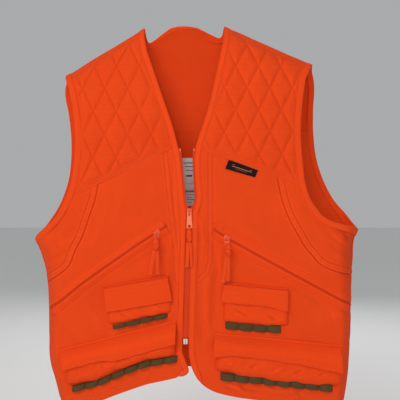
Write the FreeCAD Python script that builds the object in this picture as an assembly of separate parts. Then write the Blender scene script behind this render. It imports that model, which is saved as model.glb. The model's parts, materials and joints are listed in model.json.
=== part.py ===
import FreeCAD, Part
import math, os

# Blaze orange sleeveless field vest on a hanger: two fronts with quilted yokes, a back, a partly
# closed main zip, two slanting zipped hand pockets and four bellows pockets with flaps and
# elastic cartridge loops. Millimetres. +Z up, the fronts face -Y, +X is the wearer's left.
# The origin is where a hanger carries the vest: on its centre line at neck height.
os.makedirs("parts", exist_ok=True)
V = FreeCAD.Vector

# ---- driving dimensions -------------------------------------------------------------------
G = 1.70              # mm per step of the drafting grid; outlines below are (u, v) grid steps
U0, V0 = 188.0, 24.0  # grid point of the origin
HALF = 40.0           # half depth of the hanging vest
CLOTH = 1.2           # shell cloth thickness
BIND = 6.3            # binding width, grid steps
LOOP = 23.7           # pitch of the cartridge loops, mm
CHAIN_HALF = 2.9      # front edge to zip centre line, grid steps

def ip(poly, v):
    "u at height v on an outline listed by rising v"
    if v <= poly[0][1]:
        return poly[0][0]
    for (a, b), (c, d) in zip(poly, poly[1:]):
        if v <= d:
            return a + (c - a) * (v - b) / (d - b) if d > b else c
    return poly[-1][0]

def iv(poly, u):
    "v at u on an outline listed by rising u"
    if u <= poly[0][0]:
        return poly[0][1]
    for (a, b), (c, d) in zip(poly, poly[1:]):
        if u <= c:
            return b + (d - b) * (u - a) / (c - a) if c > a else d
    return poly[-1][1]

# ---- outlines -----------------------------------------------------------------------------
SHOULDER = [(61.7, 73.7), (143.1, 23.6), (224.8, 21.8), (315.8, 61.8)]
SIDE_R = [(31.3, 239.2), (37.0, 253.0), (43.3, 282.0), (45.2, 307.6), (45.2, 339.0), (47.1, 369.0), (50.9, 382.0), (57.6, 412.0)]
SIDE_L = [(361.9, 229.5), (357.5, 242.0), (356.9, 262.0), (355.1, 305.0), (353.2, 351.0), (351.4, 376.0), (347.6, 410.0)]
ARM_R = [(61.7, 73.7), (67.4, 89.3), (71.3, 106.0), (74.5, 132.5), (73.9, 160.7), (71.8, 178.0), (65.8, 197.6), (53.5, 219.0), (31.3, 239.2)]
ARM_L = [(315.8, 61.8), (307.8, 75.7), (304.8, 90.3), (302.4, 108.4), (301.2, 138.7), (303.0, 163.0), (306.0, 186.0), (316.3, 207.7), (333.0, 221.5), (361.9, 229.5)]
ARM_RB = [(61.7, 73.7), (58.5, 90.0), (61.0, 106.0), (63.5, 132.0), (63.0, 160.0), (60.5, 178.0), (54.0, 198.0), (44.0, 218.0), (31.3, 239.2)]
ARM_LB = [(315.8, 61.8), (320.0, 80.0), (319.6, 105.0), (320.2, 130.0), (324.6, 160.0), (332.0, 181.0), (342.0, 199.5), (352.0, 213.0), (361.9, 229.5)]
EDGE_R = [(143.1, 23.6), (143.4, 34.0), (146.5, 49.4), (157.0, 80.0), (166.1, 106.8), (173.3, 127.8), (179.9, 153.7), (181.2, 165.0), (182.6, 180.0), (184.3, 200.0), (186.5, 212.0), (182.6, 341.0), (182.3, 352.0), (186.6, 363.0), (188.9, 369.0), (188.9, 371.5), (187.6, 373.7), (185.2, 375.3), (182.0, 376.3)]
EDGE_L = [(224.8, 21.8), (223.5, 38.9), (220.1, 55.2), (216.3, 72.4), (210.5, 99.2), (207.2, 111.6), (201.0, 129.8), (196.2, 144.1), (194.0, 158.4), (195.2, 183.0), (196.4, 196.0), (194.9, 205.0), (192.3, 212.0), (188.4, 341.0), (189.0, 355.0), (191.0, 366.0), (193.9, 373.0), (197.6, 379.3), (202.6, 384.6), (207.9, 388.5)]
YOKE_R = [(70.0, 197.0), (172.5, 146.9)]
YOKE_L = [(200.0, 148.6), (226.0, 158.0), (258.0, 169.5), (312.0, 189.2)]
PRIN_R = [(98.3, 183.17), (95.0, 200.0), (88.6, 219.0), (82.0, 237.7), (75.6, 250.0), (66.4, 268.8), (43.3, 285.0)]
PRIN_L = [(277.0, 176.43), (284.8, 208.4), (296.4, 232.4), (310.9, 254.0), (331.5, 270.0), (356.4, 277.0)]
HEM_R = [(182.5, 372.0), (176.5, 377.5), (148.0, 384.0), (130.0, 390.0), (112.5, 396.0), (102.7, 400.0), (80.0, 408.0), (57.6, 412.0)]
HEM_L = [(200.2, 375.0), (208.0, 388.6), (219.4, 393.4), (243.0, 398.0), (258.6, 400.0), (300.0, 406.0), (347.6, 410.0)]
CHAIN_TOP, CHAIN_BOT = (189.4, 212.0), (185.5, 341.0)   # zip centre line
LEVELS = [21.8, 23.6, 27.0, 33, 41, 50, 61.8, 73.7, 86, 98, 112, 126.5, 138, 148, 158, 168, 178, 186, 194, 203, 212, 221, 229.5,
          239.2, 248, 258, 270, 285, 300, 315, 330, 341, 352, 362, 370, 373, 377, 384, 390, 396, 400, 404, 408, 410, 412]

# ---- the hanging shape --------------------------------------------------------------------
def side_u(v, left):
    return ip(SIDE_L if left else SIDE_R, v)

def depth(u, v):
    "half depth of the vest at a grid point, 0 along the shoulder ridge and the side seams"
    t = max(0.0, (v - iv(SHOULDER, u)) * G)
    h = 0.5 * HALF * (1 - math.exp(-t / 18.0)) + 0.5 * HALF * (1 - (1 - min(t / 280.0, 1.0)) ** 2.5)
    left = u > 188
    d = (side_u(v, True) - u) if left else (u - side_u(v, False))
    r = 20.0 - 6.0 * min(max((v - 240.0) / 110.0, 0.0), 1.0)
    s = min(max(1 - d / r, 0.0), 1.0)
    return h * (1 - s ** 2.2)

def pt(u, v, n, back=False):
    "point n mm outside the cloth's inner face"
    y = depth(u, v)
    e = 0.5
    du = (depth(u + e, v) - depth(u - e, v)) / (2 * e * G) if 0 else 0.0
    d1 = depth(min(u + e, 361.0), v); d0 = depth(max(u - e, 31.5), v)
    du = (d1 - d0) / (2 * e * G)
    dv = (depth(u, v + e) - depth(u, max(v - e, 0))) / (2 * e * G)
    f = min(math.sqrt(1 + du * du + dv * dv), 2.2)
    y = max(y + n * f, 0.02 if n <= 0 else 0.02 + 0.6 * n)
    return V((u - U0) * G, y if back else -y, -(v - V0) * G)

def flat(u, v, n):
    return V((u - U0) * G, -(HALF + n), -(v - V0) * G)

def mesh_solid(tris):
    "closed solid from triangles of vectors"
    pts, idx, out = [], {}, []
    def key(p):
        k = (round(p.x, 3), round(p.y, 3), round(p.z, 3))
        if k not in idx:
            idx[k] = len(pts); pts.append(V(*k))
        return idx[k]
    for t in tris:
        a, b, c = [key(p) for p in t]
        if a != b and b != c and a != c:
            if (pts[b] - pts[a]).cross(pts[c] - pts[a]).Length > 1e-6:
                out.append((a, b, c))
    s = Part.Shape()
    s.makeShapeFromMesh((pts, out), 0.0005, True)
    sh = s.Shells[0] if s.Shells else Part.Shell(s.Faces)
    so = Part.makeSolid(sh)
    if so.Volume < 0:
        so.reverse()
    r = so.removeSplitter()
    if r.isValid() and abs(r.Volume - so.Volume) < 1e-3 * abs(so.Volume) and len(r.Solids) == 1:
        so = r.Solids[0]
    return so

def slab(grid, n0, n1, back=False):
    "grid: rows of (u, v); the slab lies between n0 and n1"
    A = [[pt(u, v, n1, back) for u, v in row] for row in grid]
    B = [[pt(u, v, n0, back) for u, v in row] for row in grid]
    return slab_pts(A, B)

def slab_pts(A, B):
    R, C = len(A), len(A[0])
    T = []
    for i in range(R - 1):
        for j in range(C - 1):
            T += [(A[i][j], A[i + 1][j], A[i + 1][j + 1]), (A[i][j], A[i + 1][j + 1], A[i][j + 1])]
            T += [(B[i][j], B[i + 1][j + 1], B[i + 1][j]), (B[i][j], B[i][j + 1], B[i + 1][j + 1])]
    ring = [(i, 0) for i in range(R)] + [(R - 1, j) for j in range(1, C)] + [(i, C - 1) for i in range(R - 2, -1, -1)] + [(0, j) for j in range(C - 2, 0, -1)]
    for k in range(len(ring)):
        (i, j), (p, q) = ring[k], ring[(k + 1) % len(ring)]
        T += [(A[i][j], B[i][j], B[p][q]), (A[i][j], B[p][q], A[p][q])]
    return mesh_solid(T)

def rows(v0, v1, left, right, fr, extra=()):
    "rows between two boundary functions of v; fr are the fractions across"
    lv = sorted(set([v0, v1] + [v for v in LEVELS if v0 + 0.5 < v < v1 - 0.5] + [v for v in extra if v0 < v < v1]))
    return [[(left(v) + (right(v) - left(v)) * f, v) for f in fr] for v in lv]

def offset(poly, w):
    "polyline shifted w steps to the right of its direction of travel (downwards)"
    out = []
    for i, p in enumerate(poly):
        a = poly[max(i - 1, 0)]; b = poly[min(i + 1, len(poly) - 1)]
        dx, dy = b[0] - a[0], b[1] - a[1]
        l = math.hypot(dx, dy)
        out.append((p[0] + dy / l * w, p[1] - dx / l * w))
    return out

# inner edges of the armhole bindings; their ends lie on the shoulder ridge and the side seam
def arm_in(poly, w, first, last):
    o = offset(poly, w)
    o[0], o[-1] = first, last
    lv = sorted(set([first[1], last[1]] + [v for v in LEVELS if first[1] + 1 < v < last[1] - 1]))
    return [(ip(o, v), v) for v in lv]
AIN_R = arm_in(ARM_R, BIND, (67.3, iv(SHOULDER, 67.3)), (side_u(246.0, False), 246.0))
AIN_L = arm_in(ARM_L, -BIND, (310.0, iv(SHOULDER, 310.0)), (side_u(237.0, True), 237.0))
AIN_RB = arm_in(ARM_RB, BIND, (67.3, iv(SHOULDER, 67.3)), (side_u(246.0, False), 246.0))
AIN_LB = arm_in(ARM_LB, -BIND, (310.0, iv(SHOULDER, 310.0)), (side_u(237.0, True), 237.0))

def sh_u(v, left):
    "u of the shoulder ridge at height v"
    a, b = (SHOULDER[2], SHOULDER[3]) if left else (SHOULDER[1], SHOULDER[0])
    return a[0] + (b[0] - a[0]) * (v - a[1]) / (b[1] - a[1])

def line_u(seg, v):
    for (a, b), (c, d) in zip(seg, seg[1:]):
        lo, hi = min(b, d), max(b, d)
        if lo - 1e-9 <= v <= hi + 1e-9:
            return a + (c - a) * (v - b) / (d - b)
    return seg[0][0] if v < min(seg[0][1], seg[-1][1]) else seg[-1][0]

def cross_v(f, g, lo, hi):
    "height where two boundary functions meet"
    for _ in range(60):
        m = 0.5 * (lo + hi)
        if (f(lo) - g(lo)) * (f(m) - g(m)) <= 0: hi = m
        else: lo = m
    return 0.5 * (lo + hi)

F8 = [0, .14, .3, .46, .62, .78, .9, 1]
made = {}
def add(name, *solids):
    made[name] = solids

# ---- right front (wearer's right, -X) ------------------------------------------------------
ein_r = lambda v: ip(EDGE_R, v) - BIND
vy = cross_v(lambda v: line_u(YOKE_R, v), ein_r, 147.0, 150.0)         # yoke seam meets the facing
va = cross_v(lambda v: line_u(YOKE_R, v), lambda v: ip(AIN_R, v), 186.0, 196.9)
vt = cross_v(lambda v: sh_u(v, False), ein_r, 24.0, 40.0)
yl = lambda v: sh_u(v, False) if v <= AIN_R[0][1] else ip(AIN_R, v)
yr = lambda v: ein_r(v) if v <= vy else line_u(YOKE_R, v)
KR = (vt, AIN_R[0][1], vy, va, 183.17)
yoke_r = rows(vt, va, yl, yr, [0, .07, .15, .25, .4, .6, .8, 1], KR)
add("right_front_yoke", slab(yoke_r, 0, CLOTH))
def padding(left):
    f = lambda v: (sh_u(v - 12.0, left))
    if left:
        g = lambda v: min(f(v), ip(AIN_L, v) - 2.0)
        e = lambda v: ip(EDGE_L, v) + BIND + 2.0 if v <= 150 else ip([(b, a) for a, b in [(207.0, 150.0), (226.0, 155.0), (258.0, 166.5), (299.0, 181.5)]] and [(207.0, 150.0), (226.0, 155.0), (258.0, 166.5), (299.0, 181.5)], v)
        top = cross_v(lambda v: f(v), lambda v: ip(EDGE_L, v) + BIND + 2.0, 31.2, 60.0)
        bot = cross_v(g, e, 170.0, 183.0)
        return rows(top + 1.0, bot, e, g, [0, .25, .5, .75, 1], (150.0,))
    g = lambda v: max(f(v), ip(AIN_R, v) + 2.0)
    e = lambda v: ip(EDGE_R, v) - BIND - 2.0 if v <= 145 else 167.0 - (v - 145.0) / 0.4887
    top = cross_v(lambda v: f(v), lambda v: ip(EDGE_R, v) - BIND - 2.0, 33.0, 60.0)
    bot = cross_v(g, e, 170.0, 192.0)
    return rows(top + 3.0, bot, g, e, [0, .1, .25, .5, .75, 1], (145.0,))
add("right_yoke_padding", slab(padding(False), -4.4, -2.0))
vs = PRIN_R[-1][1]
sl = lambda v: line_u(YOKE_R, v) if v <= va else (ip(AIN_R, v) if v <= 246.0 else side_u(v, False))
add("right_side_panel", slab(rows(183.17, vs, sl, lambda v: ip(PRIN_R, v), [0, .1, .22, .36, .52, .75, 1], KR + (246.0,)), 0, CLOTH))
ml = lambda v: line_u(YOKE_R, v) if v <= 183.17 else (ip(PRIN_R, v) if v <= vs else side_u(v, False))
mr = lambda v: ein_r(v) if v <= 369.0 else min(182.5, ip(HEM_R, v))
add("right_front_panel", slab(rows(vy, 412.0, ml, mr, [0, .06, .13, .22, .4, .6, .8, 1], KR + (246.0, 285.0)), 0, CLOTH))
add("right_front_facing", slab(rows(23.6, 376.2, lambda v: sh_u(v, False) if v <= vt else (ein_r(v) if v <= 369.0 else min(182.6, ip(HEM_R, v) + 0.1)), lambda v: ip(EDGE_R, v), [0, 1], KR + (369.0, 371.5, 373.7, 375.3)), 0, 2.4))

def binding(inner, outer, back):
    "bias strip: inner edge shared with the panel, outer edge a binding width away"
    g = []
    n = len(inner)
    for i, p in enumerate(inner):
        if i == 0: q = outer[0]
        elif i == n - 1: q = outer[-1]
        else:
            a, b = inner[i - 1], inner[i + 1]
            dx, dy = b[0] - a[0], b[1] - a[1]; l = math.hypot(dx, dy)
            s = -1 if outer[0][0] < 188 else 1
            q = (p[0] + s * dy / l * BIND, p[1] - s * dx / l * BIND)
        g.append([p, q])
    return slab(g, 0, 2.4, back)
add("right_armhole_binding", binding(AIN_R, ARM_R, False), binding(AIN_RB, ARM_RB, True))

# ---- left front (wearer's left, +X) --------------------------------------------------------
ein_l = lambda v: ip(EDGE_L, v) + BIND
wy = cross_v(lambda v: line_u(YOKE_L, v), ein_l, 148.6, 153.0)
wa = cross_v(lambda v: line_u(YOKE_L, v), lambda v: ip(AIN_L, v), 178.0, 189.0)
wt = cross_v(lambda v: sh_u(v, True), ein_l, 22.0, 40.0)
KL = (wt, AIN_L[0][1], wy, wa, 176.43)
add("left_front_yoke", slab(rows(wt, wa, lambda v: ein_l(v) if v <= wy else line_u(YOKE_L, v), lambda v: sh_u(v, True) if v <= AIN_L[0][1] else ip(AIN_L, v), [0, .2, .4, .6, .8, 1], KL), 0, CLOTH))
add("left_yoke_padding", slab(padding(True), -4.4, -2.0))
ws = PRIN_L[-1][1]
sr = lambda v: line_u(YOKE_L, v) if v <= wa else (ip(AIN_L, v) if v <= 237.0 else side_u(v, True))
add("left_side_panel", slab(rows(176.43, ws, lambda v: ip(PRIN_L, v), sr, [0, .25, .48, .64, .78, .9, 1], KL + (237.0,)), 0, CLOTH))
nr = lambda v: line_u(YOKE_L, v) if v <= 176.43 else (ip(PRIN_L, v) if v <= ws else side_u(v, True))
nl = lambda v: ein_l(v) if v <= 373.0 else ip(HEM_L, v)
add("left_front_panel", slab(rows(wy, 410.0, nl, nr, [0, .2, .4, .6, .78, .87, .94, 1], KL + (237.0, 277.0)), 0, CLOTH))
add("left_front_facing", slab(rows(21.8, 388.0, lambda v: ip(EDGE_L, v), lambda v: sh_u(v, True) if v <= wt else (ein_l(v) if v <= 373.0 else min(ein_l(373.0), ip(HEM_L, v)) if v < 375.0 else ip(HEM_L, v) - 0.1), [0, 1], KL + (373.0, 375.0, 379.3, 384.6)), 0, 2.4))
add("left_armhole_binding", binding(AIN_L, ARM_L, False), binding(AIN_LB, ARM_LB, True))

# ---- back ----------------------------------------------------------------------------------
bl = lambda v: sh_u(v, False) if v <= AIN_RB[0][1] else (ip(AIN_RB, v) if v <= 246.0 else side_u(v, False))
br = lambda v: sh_u(v, True) if v <= AIN_LB[0][1] else (ip(AIN_LB, v) if v <= 237.0 else side_u(v, True))
FB = [0, .03, .07, .12, .2, .35, .5, .65, .8, .88, .93, .97, 1]
KB = (AIN_RB[0][1], AIN_LB[0][1], 246.0, 237.0)
add("back_yoke", slab(rows(27.0, 126.5, bl, br, FB, KB), 0, CLOTH, True))
add("back_panel", slab(rows(126.5, 384.0, bl, br, FB, KB), 0, CLOTH, True))
add("back_neck_binding", slab([[(143.1, 23.6), (160.0, 23.2), (184.0, 22.7), (205.0, 22.2), (224.8, 21.8)],
                               [(sh_u(27.0, False), 27.0), (160.0, 27.0), (184.0, 27.0), (207.0, 27.0), (sh_u(27.0, True), 27.0)]], 0.0, 2.4, True))

# ---- prisms in the flat of the fronts ------------------------------------------------------
def prism(quad, n0, n1):
    "quad in grid steps, from n0 to n1 mm off the cloth's inner face"
    p = [flat(u, v, n0) for u, v in quad]
    s = Part.Face(Part.makePolygon(p + [p[0]])).extrude(V(0, -(n1 - n0), 0))
    if s.Volume < 0: s.reverse()
    return s

# main zip
cd = V((CHAIN_BOT[0] - CHAIN_TOP[0]) * G, 0, -(CHAIN_BOT[1] - CHAIN_TOP[1]) * G); cd.normalize()
cu = lambda v: CHAIN_TOP[0] + (CHAIN_BOT[0] - CHAIN_TOP[0]) * (v - CHAIN_TOP[1]) / (CHAIN_BOT[1] - CHAIN_TOP[1])
SLIT, COIL = 0.8 / G, 3.2 / G
zl = lambda v, s: cu(v) + s * SLIT if v >= 207 else ip(EDGE_R if s < 0 else EDGE_L, v) - s * 0.9
ZV = [152, 160, 168, 178, 186, 194, 200, 207]
def zipstrip(s, a, b, n0, n1):
    "strip beside the main zip's centre line from a to b steps out, following the open front edges above the slider"
    ed = EDGE_R if s < 0 else EDGE_L
    g = []
    for v in ZV[:-1]:
        e = ip(ed, v)
        g.append([(e + s * (a - CHAIN_HALF), v), (e + s * (b - CHAIN_HALF), v)])
    for v in (207.5, 337.5):
        g.append([(cu(v) + s * a, v), (cu(v) + s * b, v)])
    A = [[V((u - U0) * G, pt(190 if u < 190 else u, v, 0).y - n1, -(v - V0) * G) for u, v in r] for r in g]
    B = [[V((u - U0) * G, pt(190 if u < 190 else u, v, 0).y - n0, -(v - V0) * G) for u, v in r] for r in g]
    return slab_pts(A, B)
for s, side in ((-1, "right"), (1, "left")):
    add("main_zip_coil_" + side, zipstrip(s, SLIT, COIL, 0.0, 1.8))
    add("main_zip_tape_" + side, zipstrip(s, SLIT, 11.0, -1.3, -0.3))
add("zip_stops", *[prism([(ip(ed, 149.0) - s * 0.4, 148.4), (ip(ed, 149.0) - s * 1.9, 148.4), (ip(ed, 151.4) - s * 1.9, 151.4), (ip(ed, 151.4) - s * 0.4, 151.4)], 0.4, 2.6) for s, ed in ((-1, EDGE_R), (1, EDGE_L))])
box_c = (cu(341.2), 341.2)
add("zip_retainer_box", prism([(box_c[0] - 2.1, 338.6), (box_c[0] + 0.1, 338.6), (box_c[0] + 0.1, 344.0), (box_c[0] - 2.1, 344.0)], -0.6, 2.6))
add("zip_insertion_pin", prism([(box_c[0] + 0.35, 338.6), (box_c[0] + 2.1, 338.6), (box_c[0] + 2.1, 344.0), (box_c[0] + 0.35, 344.0)], -0.4, 2.4))

def obox(c, ex, n0, n1, w, z0, z1):
    "box centred on a chain: c on the front plane, ex the chain's cross direction in the plane, w half width, z0..z1 along the chain (down positive)"
    ez = V(-ex.z, 0, ex.x) if 0 else ex.cross(V(0, 1, 0))
    if ez.z > 0: ez = ez * -1
    p = [c + ex * x + ez * z for x, z in ((-w, z0), (w, z0), (w, z1), (-w, z1))]
    p = [V(q.x, -(HALF + n0), q.z) for q in p]
    s = Part.Face(Part.makePolygon(p + [p[0]])).extrude(V(0, -(n1 - n0), 0))
    if s.Volume < 0: s.reverse()
    return s

def slider(c, ex, bot, top, w, ln, post):
    "bottom wing, blade through the slit and top wing, with a bridge over the pull's crossbar"
    a, b = bot; e, f = top
    s = obox(c, ex, a, b, w, -ln, ln).fuse(obox(c, ex, e, f, w, -ln, ln)).fuse(obox(c, ex, b, e, 0.4, -ln, ln * 0.2))
    z, t, h = post
    for z0, z1, n0, n1 in ((-z, t - z, f, f + 2.9), (-z, z, f + 2.0, f + 2.9), (z - t, z, f, f + 2.9)):
        s = s.fuse(obox(c, ex, n0, n1, h, z0, z1))
    return s.removeSplitter()
XH = V(1, 0, 0)
ms_c = flat(cu(212.3), 212.3, 0)
mx = V(cd.z, 0, -cd.x); mx = mx * (-1 if mx.x < 0 else 1)
add("main_slider", slider(ms_c, mx, (-2.7, -1.6), (2.1, 3.3), 4.4, 6.6, (4.2, 1.0, 1.0)))

def pull(name, c, n, drop, kn, tails, lean, tw, slot):
    "tab with a crossbar under the slider's bridge, knotted ribbon and two tails; built hanging, then leant outwards"
    piv = V(c.x, -(HALF + n), c.z)
    def b(x0, x1, n0, n1, z0, z1):
        return Part.makeBox(x1 - x0, n1 - n0, z1 - z0, V(piv.x + x0, piv.y - n1, piv.z + z0))
    tab = Part.makeCylinder(0.5, 2 * slot + 1.0, V(piv.x - slot - 0.5, piv.y, piv.z), V(1, 0, 0))
    for sgn in (-1, 1):
        lo, hi = sorted((sgn * slot, sgn * tw))
        tab = tab.fuse(b(lo, hi, -0.5, 0.5, -6.4, 0.5))
    tab = tab.fuse(b(-tw, tw, -0.5, 0.5, -drop, -6.0))
    tab = tab.cut(b(-1.5, 1.5, -1, 1, -drop + 1.4, -drop + 3.6)).removeSplitter()
    kx0, kx1, kn0, kn1, kz = kn
    knot = b(kx0, kx1, kn0, kn1, -drop + 0.0 - kz, -drop - 0.3)
    rot = lambda s: s.rotate(piv, V(1, 0, 0), -lean)
    for s in (tab, knot): rot(s)
    add(name + "_tab", tab); add(name + "_knot", knot)
    # the ribbon tails hang plumb below the knot
    kb = knot.BoundBox
    for sfx, (x0, dx, ln, w) in tails.items():
        yc = 0.5 * (kb.YMin + kb.YMax)
        pts = [V(piv.x + x0, yc, kb.ZMin + 0.0), V(piv.x + x0 + 0.35 * dx, yc, kb.ZMin - ln / 3.0), V(piv.x + x0 + 0.5 * dx, yc, kb.ZMin - 2 * ln / 3.0), V(piv.x + x0 + dx, yc, kb.ZMin - ln)]
        add(name + "_" + sfx, tube(pts, 1.1, name + "_" + sfx))

def tube(pts, r, label):
    "round tube along straight runs joined by tangent arcs"
    edges, cur, total = [], pts[0], 0.0
    for a, p, q in zip(pts, pts[1:], pts[2:]):
        d0 = (p - a); d1 = (q - p)
        l = min(d0.Length, d1.Length); d0.normalize(); d1.normalize()
        turn = d0.getAngle(d1)
        if turn < 1e-3: continue
        R = 0.45 * l / math.tan(turn / 2)
        cut = 0.45 * l
        s, e = p - d0 * cut, p + d1 * cut
        nrm = (d1 - d0); nrm.normalize()
        mid = p + nrm * (R / math.cos(turn / 2) - R)
        edges += [Part.LineSegment(cur, s).toShape(), Part.Arc(s, mid, e).toShape()]
        cur = e
        print("%s bend radius %.1f mm" % (label, R))
    edges.append(Part.LineSegment(cur, pts[-1]).toShape())
    w = Part.Wire(edges)
    d = pts[1] - pts[0]
    prof = Part.Wire([Part.Circle(pts[0], d, r).toShape()])
    s = w.makePipeShell([prof], True, False)
    print("%s length %.1f mm volume %.1f of %.1f mm3" % (label, w.Length, s.Volume, math.pi * r * r * w.Length))
    return s

pull("main_pull", ms_c, 3.3 + 1.0, 27.0, (-4.6, 4.6, -1.0, 5.6, 24.0), {"tail_long": (-2.4, -1.6, 41.0, 7.0), "tail_short": (2.2, 1.6, 40.0, 5.0)}, 0.0, 4.4, 1.5)

# ---- slanting hand pockets -------------------------------------------------------------------
welts = []
def hand_pocket(side, A, B, cs, pull_kw):
    "zip from A (upper, inner end) to B; cs is the slider's distance from A in mm"
    a, b = flat(A[0], A[1], 0), flat(B[0], B[1], 0)
    e = b - a; L = e.Length; e.normalize()
    k = V(-e.z, 0, e.x)
    if k.z < 0: k = k * -1
    def bar(s0, s1, k0, k1, n0, n1):
        p = [a + e * s + k * kk for s, kk in ((s0, k0), (s1, k0), (s1, k1), (s0, k1))]
        p = [V(q.x, -(HALF + n0), q.z) for q in p]
        s = Part.Face(Part.makePolygon(p + [p[0]])).extrude(V(0, -(n1 - n0), 0))
        if s.Volume < 0: s.reverse()
        return s
    add(side + "_pocket_zip_tape", bar(0, L, 0.8, 5.0, 3.0, 3.5), bar(0, L, -5.0, -0.8, 3.0, 3.5))
    add(side + "_pocket_zip_coil", bar(0, L, 0.8, 3.0, 3.5, 4.8), bar(0, L, -3.0, -0.8, 3.5, 4.8))
    welts.extend([bar(-6, L, 5.2, 10.5, 1.25, 4.2), bar(-6, L, -10.5, -5.2, 1.25, 4.2)])
    c = a + e * cs
    add(side + "_pocket_slider", slider(c, k, (1.5, 2.6), (5.2, 6.2), 4.0, 5.6, (2.9, 0.8, 0.7)))
    pull(side + "_pull", c, 6.2 + 1.0, *pull_kw)
    return e, c

PR = ((163.0, 228.0), (62.5, 297.4))
PL = ((217.0, 232.3), (339.5, 299.6))
er, cr = hand_pocket("right", PR[0], PR[1], 13.0, (10.0, (-5.4, 5.0, -2.4, 3.4, 22.0), {"tail_a": (-3.0, -7.0, 39.0, 6.5), "tail_b": (2.0, 0.8, 38.5, 6.0)}, 24.0, 3.9, 2.95))
el, cl = hand_pocket("left", PL[0], PL[1], 19.0, (13.0, (-2.6, 7.4, -2.4, 3.4, 20.0), {"tail_a": (-1.0, -6.0, 42.0, 6.5), "tail_b": (2.8, -2.0, 40.0, 6.0)}, 24.0, 3.9, 2.95))
add("pocket_welts", *welts)
# pocket bags: a thin cloth bag behind each front, open towards its zip
def bag(quad, n0, n1, mouth):
    o = prism(quad, n0, n1)
    cu_ = (sum(p[0] for p in quad) / 4.0, sum(p[1] for p in quad) / 4.0)
    q2 = [(cu_[0] + (u - cu_[0]) * 0.97, cu_[1] + (v - cu_[1]) * 0.97) for u, v in quad]
    return o.cut(prism(q2, n0 + 1.0, n1 - 1.0))
add("right_pocket_bag", bag([(158, 236), (170, 330), (70, 330), (66, 299)], -12.0, -3.6, 0))
add("left_pocket_bag", bag([(224, 240), (336, 301), (334, 330), (204, 330)], -12.0, -3.6, 0))

# ---- bellows pockets -------------------------------------------------------------------------
def bellows(name, quad, F, lip):
    "quad: top-left, top-right, bottom-right, bottom-left of the bag; open along its top"
    (a, b), (c, d), (e, f), (g, h) = quad
    o = prism(quad, 1.3, F)
    t = 1.4 / G
    inner = [(a + t, b - 4), (c - t, d - 4), (e - t, f - t), (g + t, h - t)]
    return o.cut(prism(inner, 2.6, F - 1.3)).removeSplitter()
def shift(p, du, dv): return (p[0] + du, p[1] + dv)
def loops(tl, tr, h, n, n0):
    "elastic band folded into loops: n cells open top and bottom"
    (a, b), (c, d) = tl, tr
    quad = [tl, tr, (c, d + h), (a, b + h)]
    s = prism(quad, n0, n0 + 7.0)
    for i in range(n):
        f0, f1 = (i + 0.07) / n, (i + 0.93) / n
        q = [(a + (c - a) * f0, b + (d - b) * f0 - 3), (a + (c - a) * f1, b + (d - b) * f1 - 3), (a + (c - a) * f1, b + (d - b) * f1 + h + 3), (a + (c - a) * f0, b + (d - b) * f0 + h + 3)]
        s = s.cut(prism(q, n0 + 1.0, n0 + 6.0))
    return s.removeSplitter()

S_F, L_F = 9.4, 17.0
# small pockets: seam line, flap drop, bag, loops
def small(side, TL, TR, BR, BL, pb, lp):
    "flap corners, bag bottom corners, loop band corners"
    kx = lambda p, q, f: (p[0] + (q[0] - p[0]) * f, p[1] + (q[1] - p[1]) * f)
    add(side + "_small_pocket", bellows("", [shift(kx(TL, BL, .4), 3, 0), shift(kx(TR, BR, .4), -1, 0), pb[1], pb[0]], S_F, 0))
    g = 0.35 / G
    add(side + "_small_flap", prism([shift(TL, 0, 3.0), shift(TR, 0, 3.0), BR, BL], S_F + 0.4, S_F + 2.4))
    return prism([TL, TR, shift(TR, 0, 2.8), shift(TL, 0, 2.8)], 1.3, S_F + 2.4)
bands = []
bands.append(small("right", (104.2, 285.6), (168.2, 275.0), (172.5, 300.2), (106.4, 311.6), ((109.0, 324.6), (171.0, 311.6)), 0))
bands.append(small("left", (223.9, 281.9), (287.6, 287.9), (287.4, 310.9), (220.4, 302.5), ((223.7, 320.7), (287.9, 325.8)), 0))
# loops stand below the bags
add("right_small_shell_loops", loops((112.9, 324.4), (167.6, 312.9), 4.4, 4, 1.3))
add("left_small_shell_loops", loops((225.2, 321.4), (280.8, 325.8), 7.0, 4, 1.3))

def large(side, TL, TR, BR, BL, pb):
    kx = lambda p, q, f: (p[0] + (q[0] - p[0]) * f, p[1] + (q[1] - p[1]) * f)
    add(side + "_large_pocket", bellows("", [shift(kx(TL, BL, .66), 4, 0), shift(kx(TR, BR, .66), -1, 0), pb[1], pb[0]], L_F, 0))
    # flap: slants out from its seam, then hangs over the bag
    ex = V((TR[0] - TL[0]) * G, 0, -(TR[1] - TL[1]) * G); W = ex.Length; ex.normalize()
    ez = ex.cross(V(0, 1, 0))
    if ez.z > 0: ez = ez * -1
    o = flat(TL[0], TL[1] + 2.4, 0)
    H = (BL[1] - TL[1] - 2.4) * G
    prof = [(0.3, 1.3), (0.3, 3.3), (16.0, L_F + 2.4), (H, L_F + 2.4), (H, L_F + 0.4), (16.6, L_F + 0.4), (1.4, 1.3)]
    p = [V(o.x, -(HALF + n), o.z) + ez * d for d, n in prof]
    s = Part.Face(Part.makePolygon(p + [p[0]])).extrude(ex * W)
    if s.Volume < 0: s.reverse()
    add(side + "_large_flap", s)
    print(side, "large flap hinge", [round(x / 1000, 5) for x in (o.x, -(HALF + 3.3), o.z)], "axis", [round(x, 5) for x in ex])
    return prism([TL, TR, shift(TR, 0, 2.3), shift(TL, 0, 2.3)], 1.3, 3.3)
bands.append(large("right", (60.3, 349.3), (176.3, 320.0), (175.6, 342.4), (64.7, 369.5), ((67.0, 384.0), (175.6, 353.6))))
bands.append(large("left", (214.6, 332.7), (340.4, 345.1), (341.4, 371.9), (212.7, 354.7), ((215.5, 370.0), (341.0, 383.0))))
add("flap_bands", *bands)
add("right_large_shell_loops", loops((72.3, 384.3), (177.2, 355.6), 6.0, 8, 1.3))
add("left_large_shell_loops", loops((220.3, 371.6), (332.3, 383.4), 7.5, 8, 1.3))

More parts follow.
